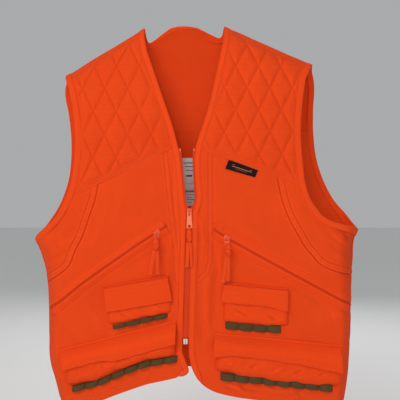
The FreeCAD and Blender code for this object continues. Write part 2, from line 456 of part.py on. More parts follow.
# ---- labels ----------------------------------------------------------------------------------
add("chest_label", prism([(228.7, 160.0), (257.8, 170.2), (254.8, 177.2), (225.1, 168.0)], 1.3, 1.9))
add("neck_label", Part.makeBox(28.2, 0.5, 59.6, V((180.2 - U0) * G, HALF - 2.6, -(190.4 - V0) * G)))
add("care_label", Part.makeBox(20.2, 0.5, 27.4, V((184.4 - U0) * G, HALF - 3.4, -(206.5 - V0) * G)))

# ---- write -----------------------------------------------------------------------------------
print("chain", [round(x, 6) for x in cd], "cross", [round(x, 6) for x in mx])
print("main pull pivot", [round(x / 1000, 6) for x in (ms_c.x, -(HALF + 4.3), ms_c.z)])
for nm, e_, c_ in (("right", er, cr), ("left", el, cl)):
    print(nm, "pocket zip axis", [round(x, 6) for x in e_], "pull pivot", [round(x / 1000, 6) for x in (c_.x, -(HALF + 7.2), c_.z)])
bad = 0
for name, solids in made.items():
    out = []
    for s in solids:
        out += s.Solids
    for s in out:
        if not s.isValid() or s.Volume <= 0 or not s.isClosed():
            print("BAD", name, s.isValid(), round(s.Volume, 2), s.isClosed()); bad += 1
    shape = out[0] if len(out) == 1 else Part.makeCompound(out)
    shape.exportStep("parts/%s.step" % name)
print(len(made), "nodes", bad, "bad")
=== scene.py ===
import sys
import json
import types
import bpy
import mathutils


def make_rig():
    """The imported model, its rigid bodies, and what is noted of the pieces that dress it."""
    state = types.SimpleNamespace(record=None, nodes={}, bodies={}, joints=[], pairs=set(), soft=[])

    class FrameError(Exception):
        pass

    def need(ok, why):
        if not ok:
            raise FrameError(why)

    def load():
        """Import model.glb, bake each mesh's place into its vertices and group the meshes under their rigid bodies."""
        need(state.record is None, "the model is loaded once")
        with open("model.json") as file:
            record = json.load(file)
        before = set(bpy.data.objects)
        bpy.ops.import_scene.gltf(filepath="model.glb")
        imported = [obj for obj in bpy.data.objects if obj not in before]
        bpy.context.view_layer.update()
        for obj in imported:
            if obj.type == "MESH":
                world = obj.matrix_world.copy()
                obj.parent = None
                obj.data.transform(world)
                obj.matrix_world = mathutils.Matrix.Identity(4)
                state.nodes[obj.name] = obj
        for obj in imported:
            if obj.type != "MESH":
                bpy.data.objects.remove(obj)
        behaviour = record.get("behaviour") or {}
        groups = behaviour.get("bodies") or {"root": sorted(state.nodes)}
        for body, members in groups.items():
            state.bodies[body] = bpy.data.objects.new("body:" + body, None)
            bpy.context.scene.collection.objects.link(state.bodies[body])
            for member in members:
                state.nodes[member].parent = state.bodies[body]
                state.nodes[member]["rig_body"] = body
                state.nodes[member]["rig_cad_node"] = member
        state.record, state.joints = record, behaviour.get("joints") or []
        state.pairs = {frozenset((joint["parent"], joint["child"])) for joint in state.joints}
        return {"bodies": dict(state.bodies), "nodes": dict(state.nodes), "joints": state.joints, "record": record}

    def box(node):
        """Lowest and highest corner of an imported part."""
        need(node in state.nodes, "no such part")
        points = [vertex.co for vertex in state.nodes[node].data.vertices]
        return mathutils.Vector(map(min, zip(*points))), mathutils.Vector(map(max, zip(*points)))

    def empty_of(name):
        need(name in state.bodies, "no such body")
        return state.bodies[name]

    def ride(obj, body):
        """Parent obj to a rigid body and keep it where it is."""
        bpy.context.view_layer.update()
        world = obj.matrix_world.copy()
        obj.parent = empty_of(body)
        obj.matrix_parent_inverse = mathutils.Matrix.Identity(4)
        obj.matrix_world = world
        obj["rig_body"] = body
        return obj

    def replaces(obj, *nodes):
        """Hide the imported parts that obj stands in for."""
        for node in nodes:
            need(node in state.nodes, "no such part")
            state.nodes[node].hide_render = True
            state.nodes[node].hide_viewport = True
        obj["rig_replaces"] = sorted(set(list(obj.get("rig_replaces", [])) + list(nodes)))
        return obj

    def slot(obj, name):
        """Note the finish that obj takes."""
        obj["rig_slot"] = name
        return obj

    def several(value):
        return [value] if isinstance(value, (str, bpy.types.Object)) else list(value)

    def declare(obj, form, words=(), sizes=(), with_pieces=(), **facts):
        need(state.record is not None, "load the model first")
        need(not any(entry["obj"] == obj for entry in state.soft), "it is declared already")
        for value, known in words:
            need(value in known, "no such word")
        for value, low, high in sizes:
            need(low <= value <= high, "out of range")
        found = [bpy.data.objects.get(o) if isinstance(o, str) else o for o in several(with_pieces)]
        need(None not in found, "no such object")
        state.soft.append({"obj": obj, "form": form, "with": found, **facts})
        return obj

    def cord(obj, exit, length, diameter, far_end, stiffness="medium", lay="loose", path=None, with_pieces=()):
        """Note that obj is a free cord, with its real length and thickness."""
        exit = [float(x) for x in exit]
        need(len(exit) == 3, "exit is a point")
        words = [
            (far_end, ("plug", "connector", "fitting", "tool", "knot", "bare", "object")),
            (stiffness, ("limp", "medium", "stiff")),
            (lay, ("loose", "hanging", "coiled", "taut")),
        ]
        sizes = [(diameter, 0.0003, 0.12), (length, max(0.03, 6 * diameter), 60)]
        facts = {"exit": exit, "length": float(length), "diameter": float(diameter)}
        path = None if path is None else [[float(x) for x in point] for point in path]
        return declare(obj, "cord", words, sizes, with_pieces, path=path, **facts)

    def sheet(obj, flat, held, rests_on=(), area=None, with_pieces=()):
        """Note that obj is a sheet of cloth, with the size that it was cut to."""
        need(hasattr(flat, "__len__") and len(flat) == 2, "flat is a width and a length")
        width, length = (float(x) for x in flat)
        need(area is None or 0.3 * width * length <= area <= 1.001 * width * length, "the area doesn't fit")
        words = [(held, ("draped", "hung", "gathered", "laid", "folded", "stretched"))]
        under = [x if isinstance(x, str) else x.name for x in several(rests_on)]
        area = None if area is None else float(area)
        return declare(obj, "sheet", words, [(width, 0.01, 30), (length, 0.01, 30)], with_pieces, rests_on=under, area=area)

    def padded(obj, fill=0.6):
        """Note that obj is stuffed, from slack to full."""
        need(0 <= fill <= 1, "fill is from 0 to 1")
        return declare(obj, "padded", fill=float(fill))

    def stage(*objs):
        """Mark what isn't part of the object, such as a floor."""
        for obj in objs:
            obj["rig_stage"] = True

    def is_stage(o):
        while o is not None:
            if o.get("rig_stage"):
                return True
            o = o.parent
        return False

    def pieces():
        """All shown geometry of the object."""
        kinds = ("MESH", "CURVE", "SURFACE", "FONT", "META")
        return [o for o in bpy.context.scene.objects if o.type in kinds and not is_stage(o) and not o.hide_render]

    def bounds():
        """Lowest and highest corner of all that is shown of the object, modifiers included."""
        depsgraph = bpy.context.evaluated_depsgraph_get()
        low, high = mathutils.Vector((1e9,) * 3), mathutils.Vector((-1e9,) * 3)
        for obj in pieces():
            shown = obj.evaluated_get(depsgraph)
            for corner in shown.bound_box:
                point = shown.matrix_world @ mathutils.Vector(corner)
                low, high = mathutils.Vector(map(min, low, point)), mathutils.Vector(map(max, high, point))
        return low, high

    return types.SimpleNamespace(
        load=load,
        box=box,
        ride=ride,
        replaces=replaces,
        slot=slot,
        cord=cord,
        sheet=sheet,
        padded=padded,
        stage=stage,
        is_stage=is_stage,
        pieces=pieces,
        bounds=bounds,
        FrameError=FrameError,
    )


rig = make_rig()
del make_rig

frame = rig.load()
import json, math
import bpy
import numpy as np
from mathutils import Vector

BOX0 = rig.bounds()
SC = bpy.context.scene
G = 1.70            # mm per drafting step, as in the CAD source
MM = 0.001
HALF = 40.0
BIND = 6.3

# ============================================================ camera, light, floor
cam = bpy.data.objects.new("camera", bpy.data.cameras.new("camera"))
SC.collection.objects.link(cam)
CAM_D = 1.25
cam.location = (0.0204, -0.040 - CAM_D, -0.2992)
cam.rotation_euler = (math.radians(90), 0, 0)
cam.data.sensor_width = 36.0
cam.data.lens = 36.0 * CAM_D / 0.680
cam.data.clip_end = 50
SC.camera = cam
SC.view_settings.view_transform = "Standard"
SC.view_settings.look = "None"

world = bpy.data.worlds.new("studio"); SC.world = world
world.use_nodes = True
bg = world.node_tree.nodes["Background"]
bg.inputs[0].default_value = (0.80, 0.81, 0.82, 1)
bg.inputs[1].default_value = 0.50

def area(name, loc, rot, size, power, col=(1, 1, 1)):
    l = bpy.data.lights.new(name, "AREA"); l.shape = "RECTANGLE"
    l.size, l.size_y = size; l.energy = power; l.color = col
    o = bpy.data.objects.new(name, l); o.location = loc; o.rotation_euler = [math.radians(a) for a in rot]
    SC.collection.objects.link(o)
area("key", (-0.75, -1.75, 0.80), (62, 0, -23), (1.0, 0.8), 17, (1.0, 0.985, 0.96))
area("fill", (0.02, -2.4, -0.12), (87, 0, 0), (0.5, 0.5), 10.5, (1.0, 0.99, 0.97))
area("back_light", (0.3, 1.8, 0.9), (-62, 0, 170 - 180), (1.6, 1.2), 18)

# ============================================================ outlines (u, v), v or u rising
SHOULDER = [(61.7, 73.7), (143.1, 23.6), (224.8, 21.8), (315.8, 61.8)]
SIDE_R = [(31.3, 239.2), (37.0, 253.0), (43.3, 282.0), (45.2, 307.6), (45.2, 339.0), (47.1, 369.0), (50.9, 382.0), (57.6, 412.0)]
SIDE_L = [(361.9, 229.5), (357.5, 242.0), (356.9, 262.0), (355.1, 305.0), (353.2, 351.0), (351.4, 376.0), (347.6, 410.0)]
ARM_R = [(61.7, 73.7), (67.4, 89.3), (71.3, 106.0), (74.5, 132.5), (73.9, 160.7), (71.8, 178.0), (65.8, 197.6), (53.5, 219.0), (31.3, 239.2)]
ARM_L = [(315.8, 61.8), (307.8, 75.7), (304.8, 90.3), (302.4, 108.4), (301.2, 138.7), (303.0, 163.0), (306.0, 186.0), (316.3, 207.7), (333.0, 221.5), (361.9, 229.5)]
ARM_RB = [(61.7, 73.7), (58.5, 90.0), (61.0, 106.0), (63.5, 132.0), (63.0, 160.0), (60.5, 178.0), (54.0, 198.0), (44.0, 218.0), (31.3, 239.2)]
ARM_LB = [(315.8, 61.8), (320.0, 80.0), (319.6, 105.0), (320.2, 130.0), (324.6, 160.0), (332.0, 181.0), (342.0, 199.5), (352.0, 213.0), (361.9, 229.5)]
EDGE_R = [(143.1, 23.6), (143.4, 34.0), (146.5, 49.4), (157.0, 80.0), (166.1, 106.8), (173.3, 127.8), (179.9, 153.7), (181.2, 165.0), (182.6, 180.0), (184.3, 200.0), (186.5, 212.0), (182.6, 341.0), (182.3, 352.0), (186.6, 363.0), (188.9, 369.0), (188.9, 371.5), (187.6, 373.7), (185.2, 375.3), (182.0, 376.3)]
EDGE_L = [(224.8, 21.8), (223.5, 38.9), (220.1, 55.2), (216.3, 72.4), (210.5, 99.2), (207.2, 111.6), (201.0, 129.8), (196.2, 144.1), (194.0, 158.4), (195.2, 183.0), (196.4, 196.0), (194.9, 205.0), (192.3, 212.0), (188.4, 341.0), (189.0, 355.0), (191.0, 366.0), (193.9, 373.0), (197.6, 379.3), (202.6, 384.6), (207.9, 388.5)]
YOKE_R = [(70.0, 197.0), (172.5, 146.9)]
YOKE_L = [(200.0, 148.6), (226.0, 158.0), (258.0, 169.5), (312.0, 189.2)]
PRIN_R = [(98.3, 183.17), (95.0, 200.0), (88.6, 219.0), (82.0, 237.7), (75.6, 250.0), (66.4, 268.8), (43.3, 285.0)]
PRIN_L = [(277.0, 176.43), (284.8, 208.4), (296.4, 232.4), (310.9, 254.0), (331.5, 270.0), (356.4, 277.0)]
HEM_R = [(182.5, 372.0), (176.5, 377.5), (148.0, 384.0), (130.0, 390.0), (112.5, 396.0), (102.7, 400.0), (80.0, 408.0), (57.6, 412.0)]
HEM_L = [(200.2, 375.0), (208.0, 388.6), (219.4, 393.4), (243.0, 398.0), (258.6, 400.0), (300.0, 406.0), (347.6, 410.0)]
CHAIN_TOP, CHAIN_BOT = (189.4, 212.0), (185.5, 341.0)

def smooth(poly, k=6):
    "rounds an outline that rises in v, through its own points (monotone cubic)"
    v = np.array([p[1] for p in poly]); u = np.array([p[0] for p in poly])
    h = np.diff(v); d = np.diff(u) / h
    m = np.zeros(len(v)); m[0] = d[0]; m[-1] = d[-1]
    for i in range(1, len(v) - 1):
        m[i] = (d[i - 1] * h[i] + d[i] * h[i - 1]) / (h[i] + h[i - 1])
    out = []
    for i in range(len(h)):
        for j in range(k):
            t = j / k
            out.append((u[i] * (2*t**3 - 3*t**2 + 1) + h[i]*m[i]*(t**3 - 2*t**2 + t) + u[i+1]*(-2*t**3 + 3*t**2) + h[i]*m[i+1]*(t**3 - t**2), v[i] + t*h[i]))
    out.append((u[-1], v[-1]))
    return out
for nm in ("ARM_R", "ARM_L", "ARM_RB", "ARM_LB", "PRIN_R", "PRIN_L", "SIDE_R", "SIDE_L", "HEM_L"):
    globals()[nm] = smooth(globals()[nm])

def at_v(poly, v):
    return np.interp(v, [p[1] for p in poly], [p[0] for p in poly])
def at_u(poly, u):
    q = sorted(poly)
    return np.interp(u, [p[0] for p in q], [p[1] for p in q])
def offset(poly, w):
    p = np.array(poly, float)
    a = np.vstack([p[:1], p[:-1]]); b = np.vstack([p[1:], p[-1:]])
    d = b - a; d /= np.linalg.norm(d, axis=1)[:, None]
    return [(x, y) for x, y in zip(p[:, 0] + d[:, 1] * w, p[:, 1] - d[:, 0] * w)]
def side_u(v, left):
    return at_v(SIDE_L if left else SIDE_R, v)
def sh_v(u):
    return np.interp(u, [p[0] for p in SHOULDER], [p[1] for p in SHOULDER])
def sh_u(v, left):
    a, b = (SHOULDER[2], SHOULDER[3]) if left else (SHOULDER[1], SHOULDER[0])
    return a[0] + (b[0] - a[0]) * (v - a[1]) / (b[1] - a[1])

def depth(u, v):
    u, v = np.asarray(u, float), np.asarray(v, float)
    t = np.maximum(0.0, (v - sh_v(u)) * G)
    h = 0.5 * HALF * (1 - np.exp(-t / 18.0)) + 0.5 * HALF * (1 - (1 - np.minimum(t / 280.0, 1.0)) ** 2.5)
    d = np.where(u > 188, side_u(v, True) - u, u - side_u(v, False))
    r = 20.0 - 6.0 * np.clip((v - 240.0) / 110.0, 0, 1)
    s = np.clip(1 - d / r, 0, 1)
    return h * (1 - s ** 2.2)

def P(u, v, n, back=False, flat=False):
    "points in metres, n mm off the cloth's inner face along its normal"
    u, v, n = np.broadcast_arrays(np.asarray(u, float), np.asarray(v, float), np.asarray(n, float))
    x, z = (u - 188.0) * G, -(v - 24.0) * G
    if flat:
        return np.stack([x, -(HALF + n), z], -1) * MM
    e = 0.35
    D = depth(u, v)
    dx = (depth(u + e, v) - depth(u - e, v)) / (2 * e * G)
    dz = -(depth(u, v + e) - depth(u, v - e)) / (2 * e * G)
    dx, dz = np.clip(dx, -4, 4), np.clip(dz, -4, 4)
    L = np.sqrt(1 + dx * dx + dz * dz)
    s = 1.0 if back else -1.0
    return np.stack([x - dx / L * n, s * (D + n / L), z - dz / L * n], -1) * MM

def dist(u, v, poly):
    "distance in mm to a polyline, and the share of the way along it"
    u, v = np.asarray(u, float), np.asarray(v, float)
    best = np.full(u.shape, 1e9); along = np.zeros(u.shape)
    q = np.array(poly, float)
    seg = np.linalg.norm(np.diff(q, axis=0), axis=1); tot = seg.sum(); run = 0
    for (a, b), (c, d), l in zip(poly, poly[1:], seg):
        t = np.clip(((u - a) * (c - a) + (v - b) * (d - b)) / max(l * l, 1e-9), 0, 1)
        r = np.hypot(u - a - t * (c - a), v - b - t * (d - b)) * G
        m = r < best
        best = np.where(m, r, best); along = np.where(m, (run + t * l) / tot, along)
        run += l
    return best, along

# ============================================================ mesh helpers
def new_obj(name, verts, faces, mat, smooth_shade=True):
    me = bpy.data.meshes.new(name)
    me.from_pydata([tuple(p) for p in verts], [], faces)
    me.validate()
    if smooth_shade:
        me.polygons.foreach_set("use_smooth", [True] * len(me.polygons))
    me.materials.append(mat)
    o = bpy.data.objects.new(name, me)
    SC.collection.objects.link(o)
    return o

def slab_mesh(A, B):
    "closed sheet between two R x C point arrays, A outside"
    R, C = A.shape[:2]
    n = R * C
    V = np.concatenate([A.reshape(-1, 3), B.reshape(-1, 3)])
    i, j = np.meshgrid(np.arange(R - 1), np.arange(C - 1), indexing="ij")
    a = (i * C + j).ravel(); b = a + 1; c = a + C + 1; d = a + C
    F = np.concatenate([np.stack([a, d, c, b], 1), np.stack([a, b, c, d], 1) + n])
    ring = [r * C for r in range(R)] + [(R - 1) * C + k for k in range(1, C)] + [r * C + C - 1 for r in range(R - 2, -1, -1)] + list(range(C - 2, 0, -1))
    ring = np.array(ring); nxt = np.roll(ring, -1)
    F = np.concatenate([F, np.stack([ring, ring + n, nxt + n, nxt], 1)])
    return V, F

def weld(V, F, tol=2e-6, keep=None):
    k = np.round(V / tol).astype(np.int64)
    _, first, inv = np.unique(k, axis=0, return_index=True, return_inverse=True)
    inv = inv.reshape(-1)
    V2 = V[first]
    out = []
    for f in inv[F].tolist():
        g = []
        for x in f:
            if x not in g: g.append(x)
        if len(g) > 2: out.append(g)
    if keep is not None: return V2, out, keep[first]
    return V2, out

def slab_obj(name, A, B, mat, crease=None):
    V, F = slab_mesh(A, B)
    c = np.zeros(len(V)) if crease is None else np.concatenate([crease.ravel(), np.zeros(crease.size)])
    V, F, c = weld(V, F, keep=c)
    o = new_obj(name, V, F, mat)
    # painted shade: the relief per point is stored for the material, which darkens hollows and lightens ridges with it
    if crease is not None and len(o.data.vertices) == len(c):
        at = o.data.attributes.new("crease", "FLOAT", "POINT"); at.data.foreach_set("value", c.astype(np.float32))
    import bmesh
    bm = bmesh.new(); bm.from_mesh(o.data)
    bmesh.ops.recalc_face_normals(bm, faces=bm.faces)
    bm.to_mesh(o.data); bm.free()
    return o

def fracs(n, w, r=0.9):
    "fractions across, with extra lines to round both edges; w is a typical width in mm"
    e = [0, 0.25 * r / w, 0.6 * r / w, r / w, 2.2 * r / w]
    mid = np.linspace(3.6 * r / w, 1 - 3.6 * r / w, max(n, 2))
    return np.array(e + list(mid) + [1 - x for x in e[::-1]])

def round_edges(s, w, r, th):
    "shrinks the sheet's thickness towards its edges: share of half thickness at distance s*w"
    d = np.minimum(s, 1 - s) * w
    q = np.clip(d / r, 0, 1)
    return np.sqrt(np.maximum(1 - (1 - q) ** 2, 0.0))

def cloth(name, mat, v0, v1, left, right, nf, th, step=2.3, back=False, extra=(), w=None, dv=None, flat=False):
    "sheet over the rows v0..v1 between two outlines; nf(u, v) is its outer face in mm"
    dv = dv or step / G
    lv = list(np.linspace(v0, v1, max(int((v1 - v0) / dv), 3))) + [x for x in extra if v0 < x < v1]
    r = 0.8 / G
    lv += [v0 + 0.25 * r, v0 + 0.6 * r, v0 + r, v1 - r, v1 - 0.6 * r, v1 - 0.25 * r]
    lv = np.array(sorted(set(np.round(lv, 4))))
    L = np.array([float(left(x)) for x in lv]); Rr = np.array([float(right(x)) for x in lv])
    wmax = (w or float(np.max(Rr - L))) * G
    f = fracs(int(wmax / step), wmax)
    U = L[:, None] + (Rr - L)[:, None] * f[None, :]
    Vv = np.repeat(lv[:, None], len(f), 1)
    n = nf(U, Vv)
    wr = np.maximum((Rr - L) * G, 0.01)[:, None]
    k = round_edges(np.broadcast_to(f[None, :], U.shape), wr, 0.8, th)
    kv = np.sqrt(np.clip(1 - (1 - np.clip(np.minimum(lv - v0, v1 - lv) * G / 0.8, 0, 1)) ** 2, 0, 1))[:, None]
    k = np.maximum(k * kv, 0.06)
    mid = n - th / 2
    A = P(U, Vv, mid + th / 2 * k, back, flat); B = P(U, Vv, mid - th / 2 * k, back, flat)
    # the relief passed on here becomes painted shade in the material
    return slab_obj(name, A, B, mat, crease_of(nf, U, Vv, n)), A

def crease_of(nf, U, Vv, n, d=2.6):
    """how far a point lies above (+) or below (-) the cloth around it, in mm / 0.5; the material uses it as painted
    shade, darker below and lighter above
    """
    e = d / G
    m = 0.25 * (nf(U + e, Vv) + nf(U - e, Vv) + nf(U, Vv + e) + nf(U, Vv - e))
    return np.clip((n - m) / 0.5, -1.6, 1.2)

def area_of(A):
    a = A[1:, 1:] - A[:-1, :-1]; b = A[1:, :-1] - A[:-1, 1:]
    return float(0.5 * np.linalg.norm(np.cross(a, b), axis=-1).sum())

def resample(pts, pitch):
    "points every pitch along a polyline in 3-D"
    p = np.asarray(pts, float)
    s = np.concatenate([[0], np.cumsum(np.linalg.norm(np.diff(p, axis=0), axis=1))])
    n = max(int(s[-1] / pitch), 1)
    t = np.linspace(0, s[-1], n + 1)
    return np.stack([np.interp(t, s, p[:, k]) for k in range(3)], 1)

STITCH = {}
def stitch(group, pts3, normal=(0, -1, 0), pitch=3.6, ln=2.9, rad=0.34, lift=0.12):
    "thread dashes along a line of surface points; normal is the way out of the cloth, one or per point"
    q = np.asarray(pts3, float)
    if len(q) < 2: return
    s = np.concatenate([[0], np.cumsum(np.linalg.norm(np.diff(q, axis=0), axis=1))])
    nrm = np.broadcast_to(np.asarray(normal, float), q.shape)
    N = int(s[-1] / (pitch * MM))
    Vs, Fs = STITCH.setdefault(group, ([], []))
    prof = [(0.0, 0.35, -0.45), (0.22, 0.95, 0.1), (0.78, 0.95, 0.1), (1.0, 0.35, -0.45)]
    for i in range(N):
        a = i * pitch * MM; 
        ring0 = len(Vs)
        for f, rr, dn in prof:
            t = a + f * ln * MM
            c = np.array([np.interp(t, s, q[:, k]) for k in range(3)])
            m = np.array([np.interp(t, s, nrm[:, k]) for k in range(3)]); m /= np.linalg.norm(m)
            t2 = np.array([np.interp(t + 1e-4, s, q[:, k]) for k in range(3)]) - np.array([np.interp(t - 1e-4, s, q[:, k]) for k in range(3)])
            l = np.linalg.norm(t2); t2 = t2 / l if l > 1e-9 else np.array([0, 0, -1.0])
            b = np.cross(t2, m); b /= max(np.linalg.norm(b), 1e-9)
            for g in range(5):
                an = 2 * math.pi * g / 5
                Vs.append(c + (b * math.cos(an) * rad * rr + m * (math.sin(an) * rad * 0.8 * rr + lift + dn * rad)) * MM)
        for k in range(3):
            for g in range(5):
                x = ring0 + k * 5
                Fs.append((x + g, x + (g + 1) % 5, x + 5 + (g + 1) % 5, x + 5 + g))
        Fs.append(tuple(ring0 + g for g in range(4, -1, -1)))
        Fs.append(tuple(ring0 + 15 + g for g in range(5)))

def surf_line(poly, nf, back=False, pitch=2.0, flat=False):
    "3-D points on a sheet's outer face along a (u, v) polyline, with normals"
    p = np.array(poly, float)
    s = np.concatenate([[0], np.cumsum(np.linalg.norm(np.diff(p, axis=0), axis=1))]) * G
    t = np.linspace(0, s[-1], max(int(s[-1] / pitch), 2))
    u, v = np.interp(t, s, p[:, 0]), np.interp(t, s, p[:, 1])
    n = nf(u, v)
    a = P(u, v, n, back, flat); b = P(u, v, n + 1.0, back, flat)
    return a, (b - a) / MM

# ============================================================ materials
def nodes_of(m):
    m.use_nodes = True
    return m.node_tree, m.node_tree.nodes["Principled BSDF"]

def fabric(name, col, col2, rough=0.86, sheen=0.07, twill=0.95, bump=0.10, mott=0.5, fuzz=0.35, rot=(0, 0.96, 0), tone=0.34):
    """brushed twill: diagonal ribs crossed by finer yarns, soft mottling and a little fibre fuzz; its colour also
    carries painted shade, darker in the gaps between ribs and in the cloth's creases, lighter on its ridges
    """
    m = bpy.data.materials.new(name); t, b = nodes_of(m)
    N, Lk = t.nodes, t.links
    co = N.new("ShaderNodeTexCoord")
    mp = N.new("ShaderNodeMapping"); mp.inputs["Rotation"].default_value = rot
    Lk.new(co.outputs["Object"], mp.inputs[0])
    w1 = N.new("ShaderNodeTexWave"); w1.bands_direction = "X"; w1.inputs["Scale"].default_value = 314.0 / twill
    w1.inputs["Distortion"].default_value = 0.6; w1.inputs["Detail"].default_value = 1.0; w1.inputs["Detail Scale"].default_value = 1.5
    Lk.new(mp.outputs[0], w1.inputs["Vector"])
    w2 = N.new("ShaderNodeTexWave"); w2.bands_direction = "Z"; w2.inputs["Scale"].default_value = 314.0 / (twill * 0.55)
    w2.inputs["Distortion"].default_value = 0.8; w2.inputs["Detail"].default_value = 1.0
    Lk.new(mp.outputs[0], w2.inputs["Vector"])
    mul = N.new("ShaderNodeMath"); mul.operation = "MULTIPLY_ADD"; mul.inputs[1].default_value = 0.45
    Lk.new(w2.outputs["Fac"], mul.inputs[0]); Lk.new(w1.outputs["Fac"], mul.inputs[2])
    fz = N.new("ShaderNodeTexNoise"); fz.inputs["Scale"].default_value = 1400.0; fz.inputs["Detail"].default_value = 3.0
    Lk.new(co.outputs["Object"], fz.inputs["Vector"])
    ad = N.new("ShaderNodeMath"); ad.operation = "MULTIPLY_ADD"; ad.inputs[1].default_value = fuzz
    Lk.new(fz.outputs["Fac"], ad.inputs[0]); Lk.new(mul.outputs[0], ad.inputs[2])
    cr = N.new("ShaderNodeTexNoise"); cr.inputs["Scale"].default_value = 55.0; cr.inputs["Detail"].default_value = 4.0; cr.inputs["Roughness"].default_value = 0.55
    Lk.new(co.outputs["Object"], cr.inputs["Vector"])
    b1 = N.new("ShaderNodeBump"); b1.inputs["Strength"].default_value = 0.35; b1.inputs["Distance"].default_value = 0.0016
    Lk.new(cr.outputs["Fac"], b1.inputs["Height"])
    b2 = N.new("ShaderNodeBump"); b2.inputs["Strength"].default_value = 0.8; b2.inputs["Distance"].default_value = bump * MM * 2
    Lk.new(ad.outputs[0], b2.inputs["Height"]); Lk.new(b1.outputs[0], b2.inputs["Normal"])
    Lk.new(b2.outputs[0], b.inputs["Normal"])
    mo = N.new("ShaderNodeTexNoise"); mo.inputs["Scale"].default_value = 17.0; mo.inputs["Detail"].default_value = 5.0; mo.inputs["Roughness"].default_value = 0.6
    Lk.new(co.outputs["Object"], mo.inputs["Vector"])
    mx = N.new("ShaderNodeMix"); mx.data_type = "RGBA"; mx.inputs[6].default_value = (*col, 1); mx.inputs[7].default_value = (*col2, 1)
    rp = N.new("ShaderNodeMapRange"); rp.inputs["From Min"].default_value = 0.3; rp.inputs["From Max"].default_value = 0.75; rp.inputs["To Max"].default_value = mott
    Lk.new(mo.outputs["Fac"], rp.inputs[0]); Lk.new(rp.outputs[0], mx.inputs[0])
    # painted shade at yarn scale: the gaps between the ribs a little darker than the ribs, with random fibre tone mixed
    # in
    mx2 = N.new("ShaderNodeMix"); mx2.data_type = "RGBA"; mx2.blend_type = "MULTIPLY"; mx2.inputs[0].default_value = 1.0
    rg = N.new("ShaderNodeMapRange"); rg.inputs["To Min"].default_value = 0.88; rg.inputs["To Max"].default_value = 1.05; rg.inputs["From Max"].default_value = 1.5
    Lk.new(ad.outputs[0], rg.inputs[0])
    Lk.new(mx.outputs[2], mx2.inputs[6]); Lk.new(rg.outputs[0], mx2.inputs[7])
    # painted shade: the stored relief of the cloth darkens the colour in its creases and hollows and lightens it on its
    # ridges
    att = N.new("ShaderNodeAttribute"); att.attribute_name = "crease"
    mr = N.new("ShaderNodeMapRange"); mr.inputs["From Min"].default_value = -1.6; mr.inputs["From Max"].default_value = 1.6
    mr.inputs["To Min"].default_value = 1 - tone; mr.inputs["To Max"].default_value = 1 + tone
    Lk.new(att.outputs["Fac"], mr.inputs[0])
    mx3 = N.new("ShaderNodeMix"); mx3.data_type = "RGBA"; mx3.blend_type = "MULTIPLY"; mx3.inputs[0].default_value = 1.0
    Lk.new(mx2.outputs[2], mx3.inputs[6]); Lk.new(mr.outputs[0], mx3.inputs[7])
    Lk.new(mx3.outputs[2], b.inputs["Base Color"])
    rr = N.new("ShaderNodeMapRange"); rr.inputs["To Min"].default_value = rough - 0.07; rr.inputs["To Max"].default_value = rough + 0.07
    Lk.new(fz.outputs["Fac"], rr.inputs[0]); Lk.new(rr.outputs[0], b.inputs["Roughness"])
    b.inputs["Sheen Weight"].default_value = sheen
    b.inputs["Sheen Roughness"].default_value = 0.45
    b.inputs["Sheen Tint"].default_value = (1.0, 0.30, 0.12, 1)
    b.inputs["Specular IOR Level"].default_value = 0.12
    return m

def plastic(name, col, rough, metal=0.0, spec=0.5, noise=0.15, scale=400.0, bump=0.02, edge=None):
    m = bpy.data.materials.new(name); t, b = nodes_of(m)
    N, Lk = t.nodes, t.links
    co = N.new("ShaderNodeTexCoord")
    ns = N.new("ShaderNodeTexNoise"); ns.inputs["Scale"].default_value = scale; ns.inputs["Detail"].default_value = 4.0
    Lk.new(co.outputs["Object"], ns.inputs["Vector"])
    mx = N.new("ShaderNodeMix"); mx.data_type = "RGBA"
    mx.inputs[6].default_value = (*col, 1); mx.inputs[7].default_value = (*(edge or [c * (1 - noise) for c in col]), 1)
    Lk.new(ns.outputs["Fac"], mx.inputs[0]); Lk.new(mx.outputs[2], b.inputs["Base Color"])
    rr = N.new("ShaderNodeMapRange"); rr.inputs["To Min"].default_value = max(rough - 0.1, 0.02); rr.inputs["To Max"].default_value = rough + 0.12
    Lk.new(ns.outputs["Fac"], rr.inputs[0]); Lk.new(rr.outputs[0], b.inputs["Roughness"])
    bp = N.new("ShaderNodeBump"); bp.inputs["Strength"].default_value = 0.5; bp.inputs["Distance"].default_value = bump * MM
    Lk.new(ns.outputs["Fac"], bp.inputs["Height"]); Lk.new(bp.outputs[0], b.inputs["Normal"])
    b.inputs["Metallic"].default_value = metal
    b.inputs["Specular IOR Level"].default_value = spec
    return m

OR1, OR2 = (0.90, 0.070, 0.0085), (0.80, 0.056, 0.0065)
M_SHELL = fabric("shell_twill", OR1, OR2)
M_YOKE = fabric("yoke_twill", OR1, OR2, twill=0.9, rot=(0, 0.9, 0), tone=0.13)
M_BIND = fabric("binding_twill", (0.93, 0.072, 0.009), (0.86, 0.062, 0.007), rot=(0, 0.2, 0), mott=0.3)
M_POCKET = fabric("pocket_twill", (0.94, 0.070, 0.008), (0.86, 0.060, 0.006), rot=(0, 1.15, 0))
M_LINING = fabric("lining_cloth", (0.78, 0.055, 0.008), (0.70, 0.047, 0.007), twill=0.7, sheen=0.1)
M_THREAD = plastic("thread", (0.95, 0.095, 0.016), 0.55, noise=0.2, scale=1500.0, bump=0.05)
M_COIL = plastic("zip_coil_nylon", (0.92, 0.085, 0.016), 0.42, noise=0.2, scale=900.0)
M_TAPE = fabric("zip_tape_woven", (0.86, 0.062, 0.009), (0.78, 0.054, 0.008), twill=0.6, rot=(0, 0, 0), sheen=0.1)
M_SLIDER = plastic("slider_enamel", (0.86, 0.088, 0.018), 0.42, spec=0.35, noise=0.12, scale=260.0)
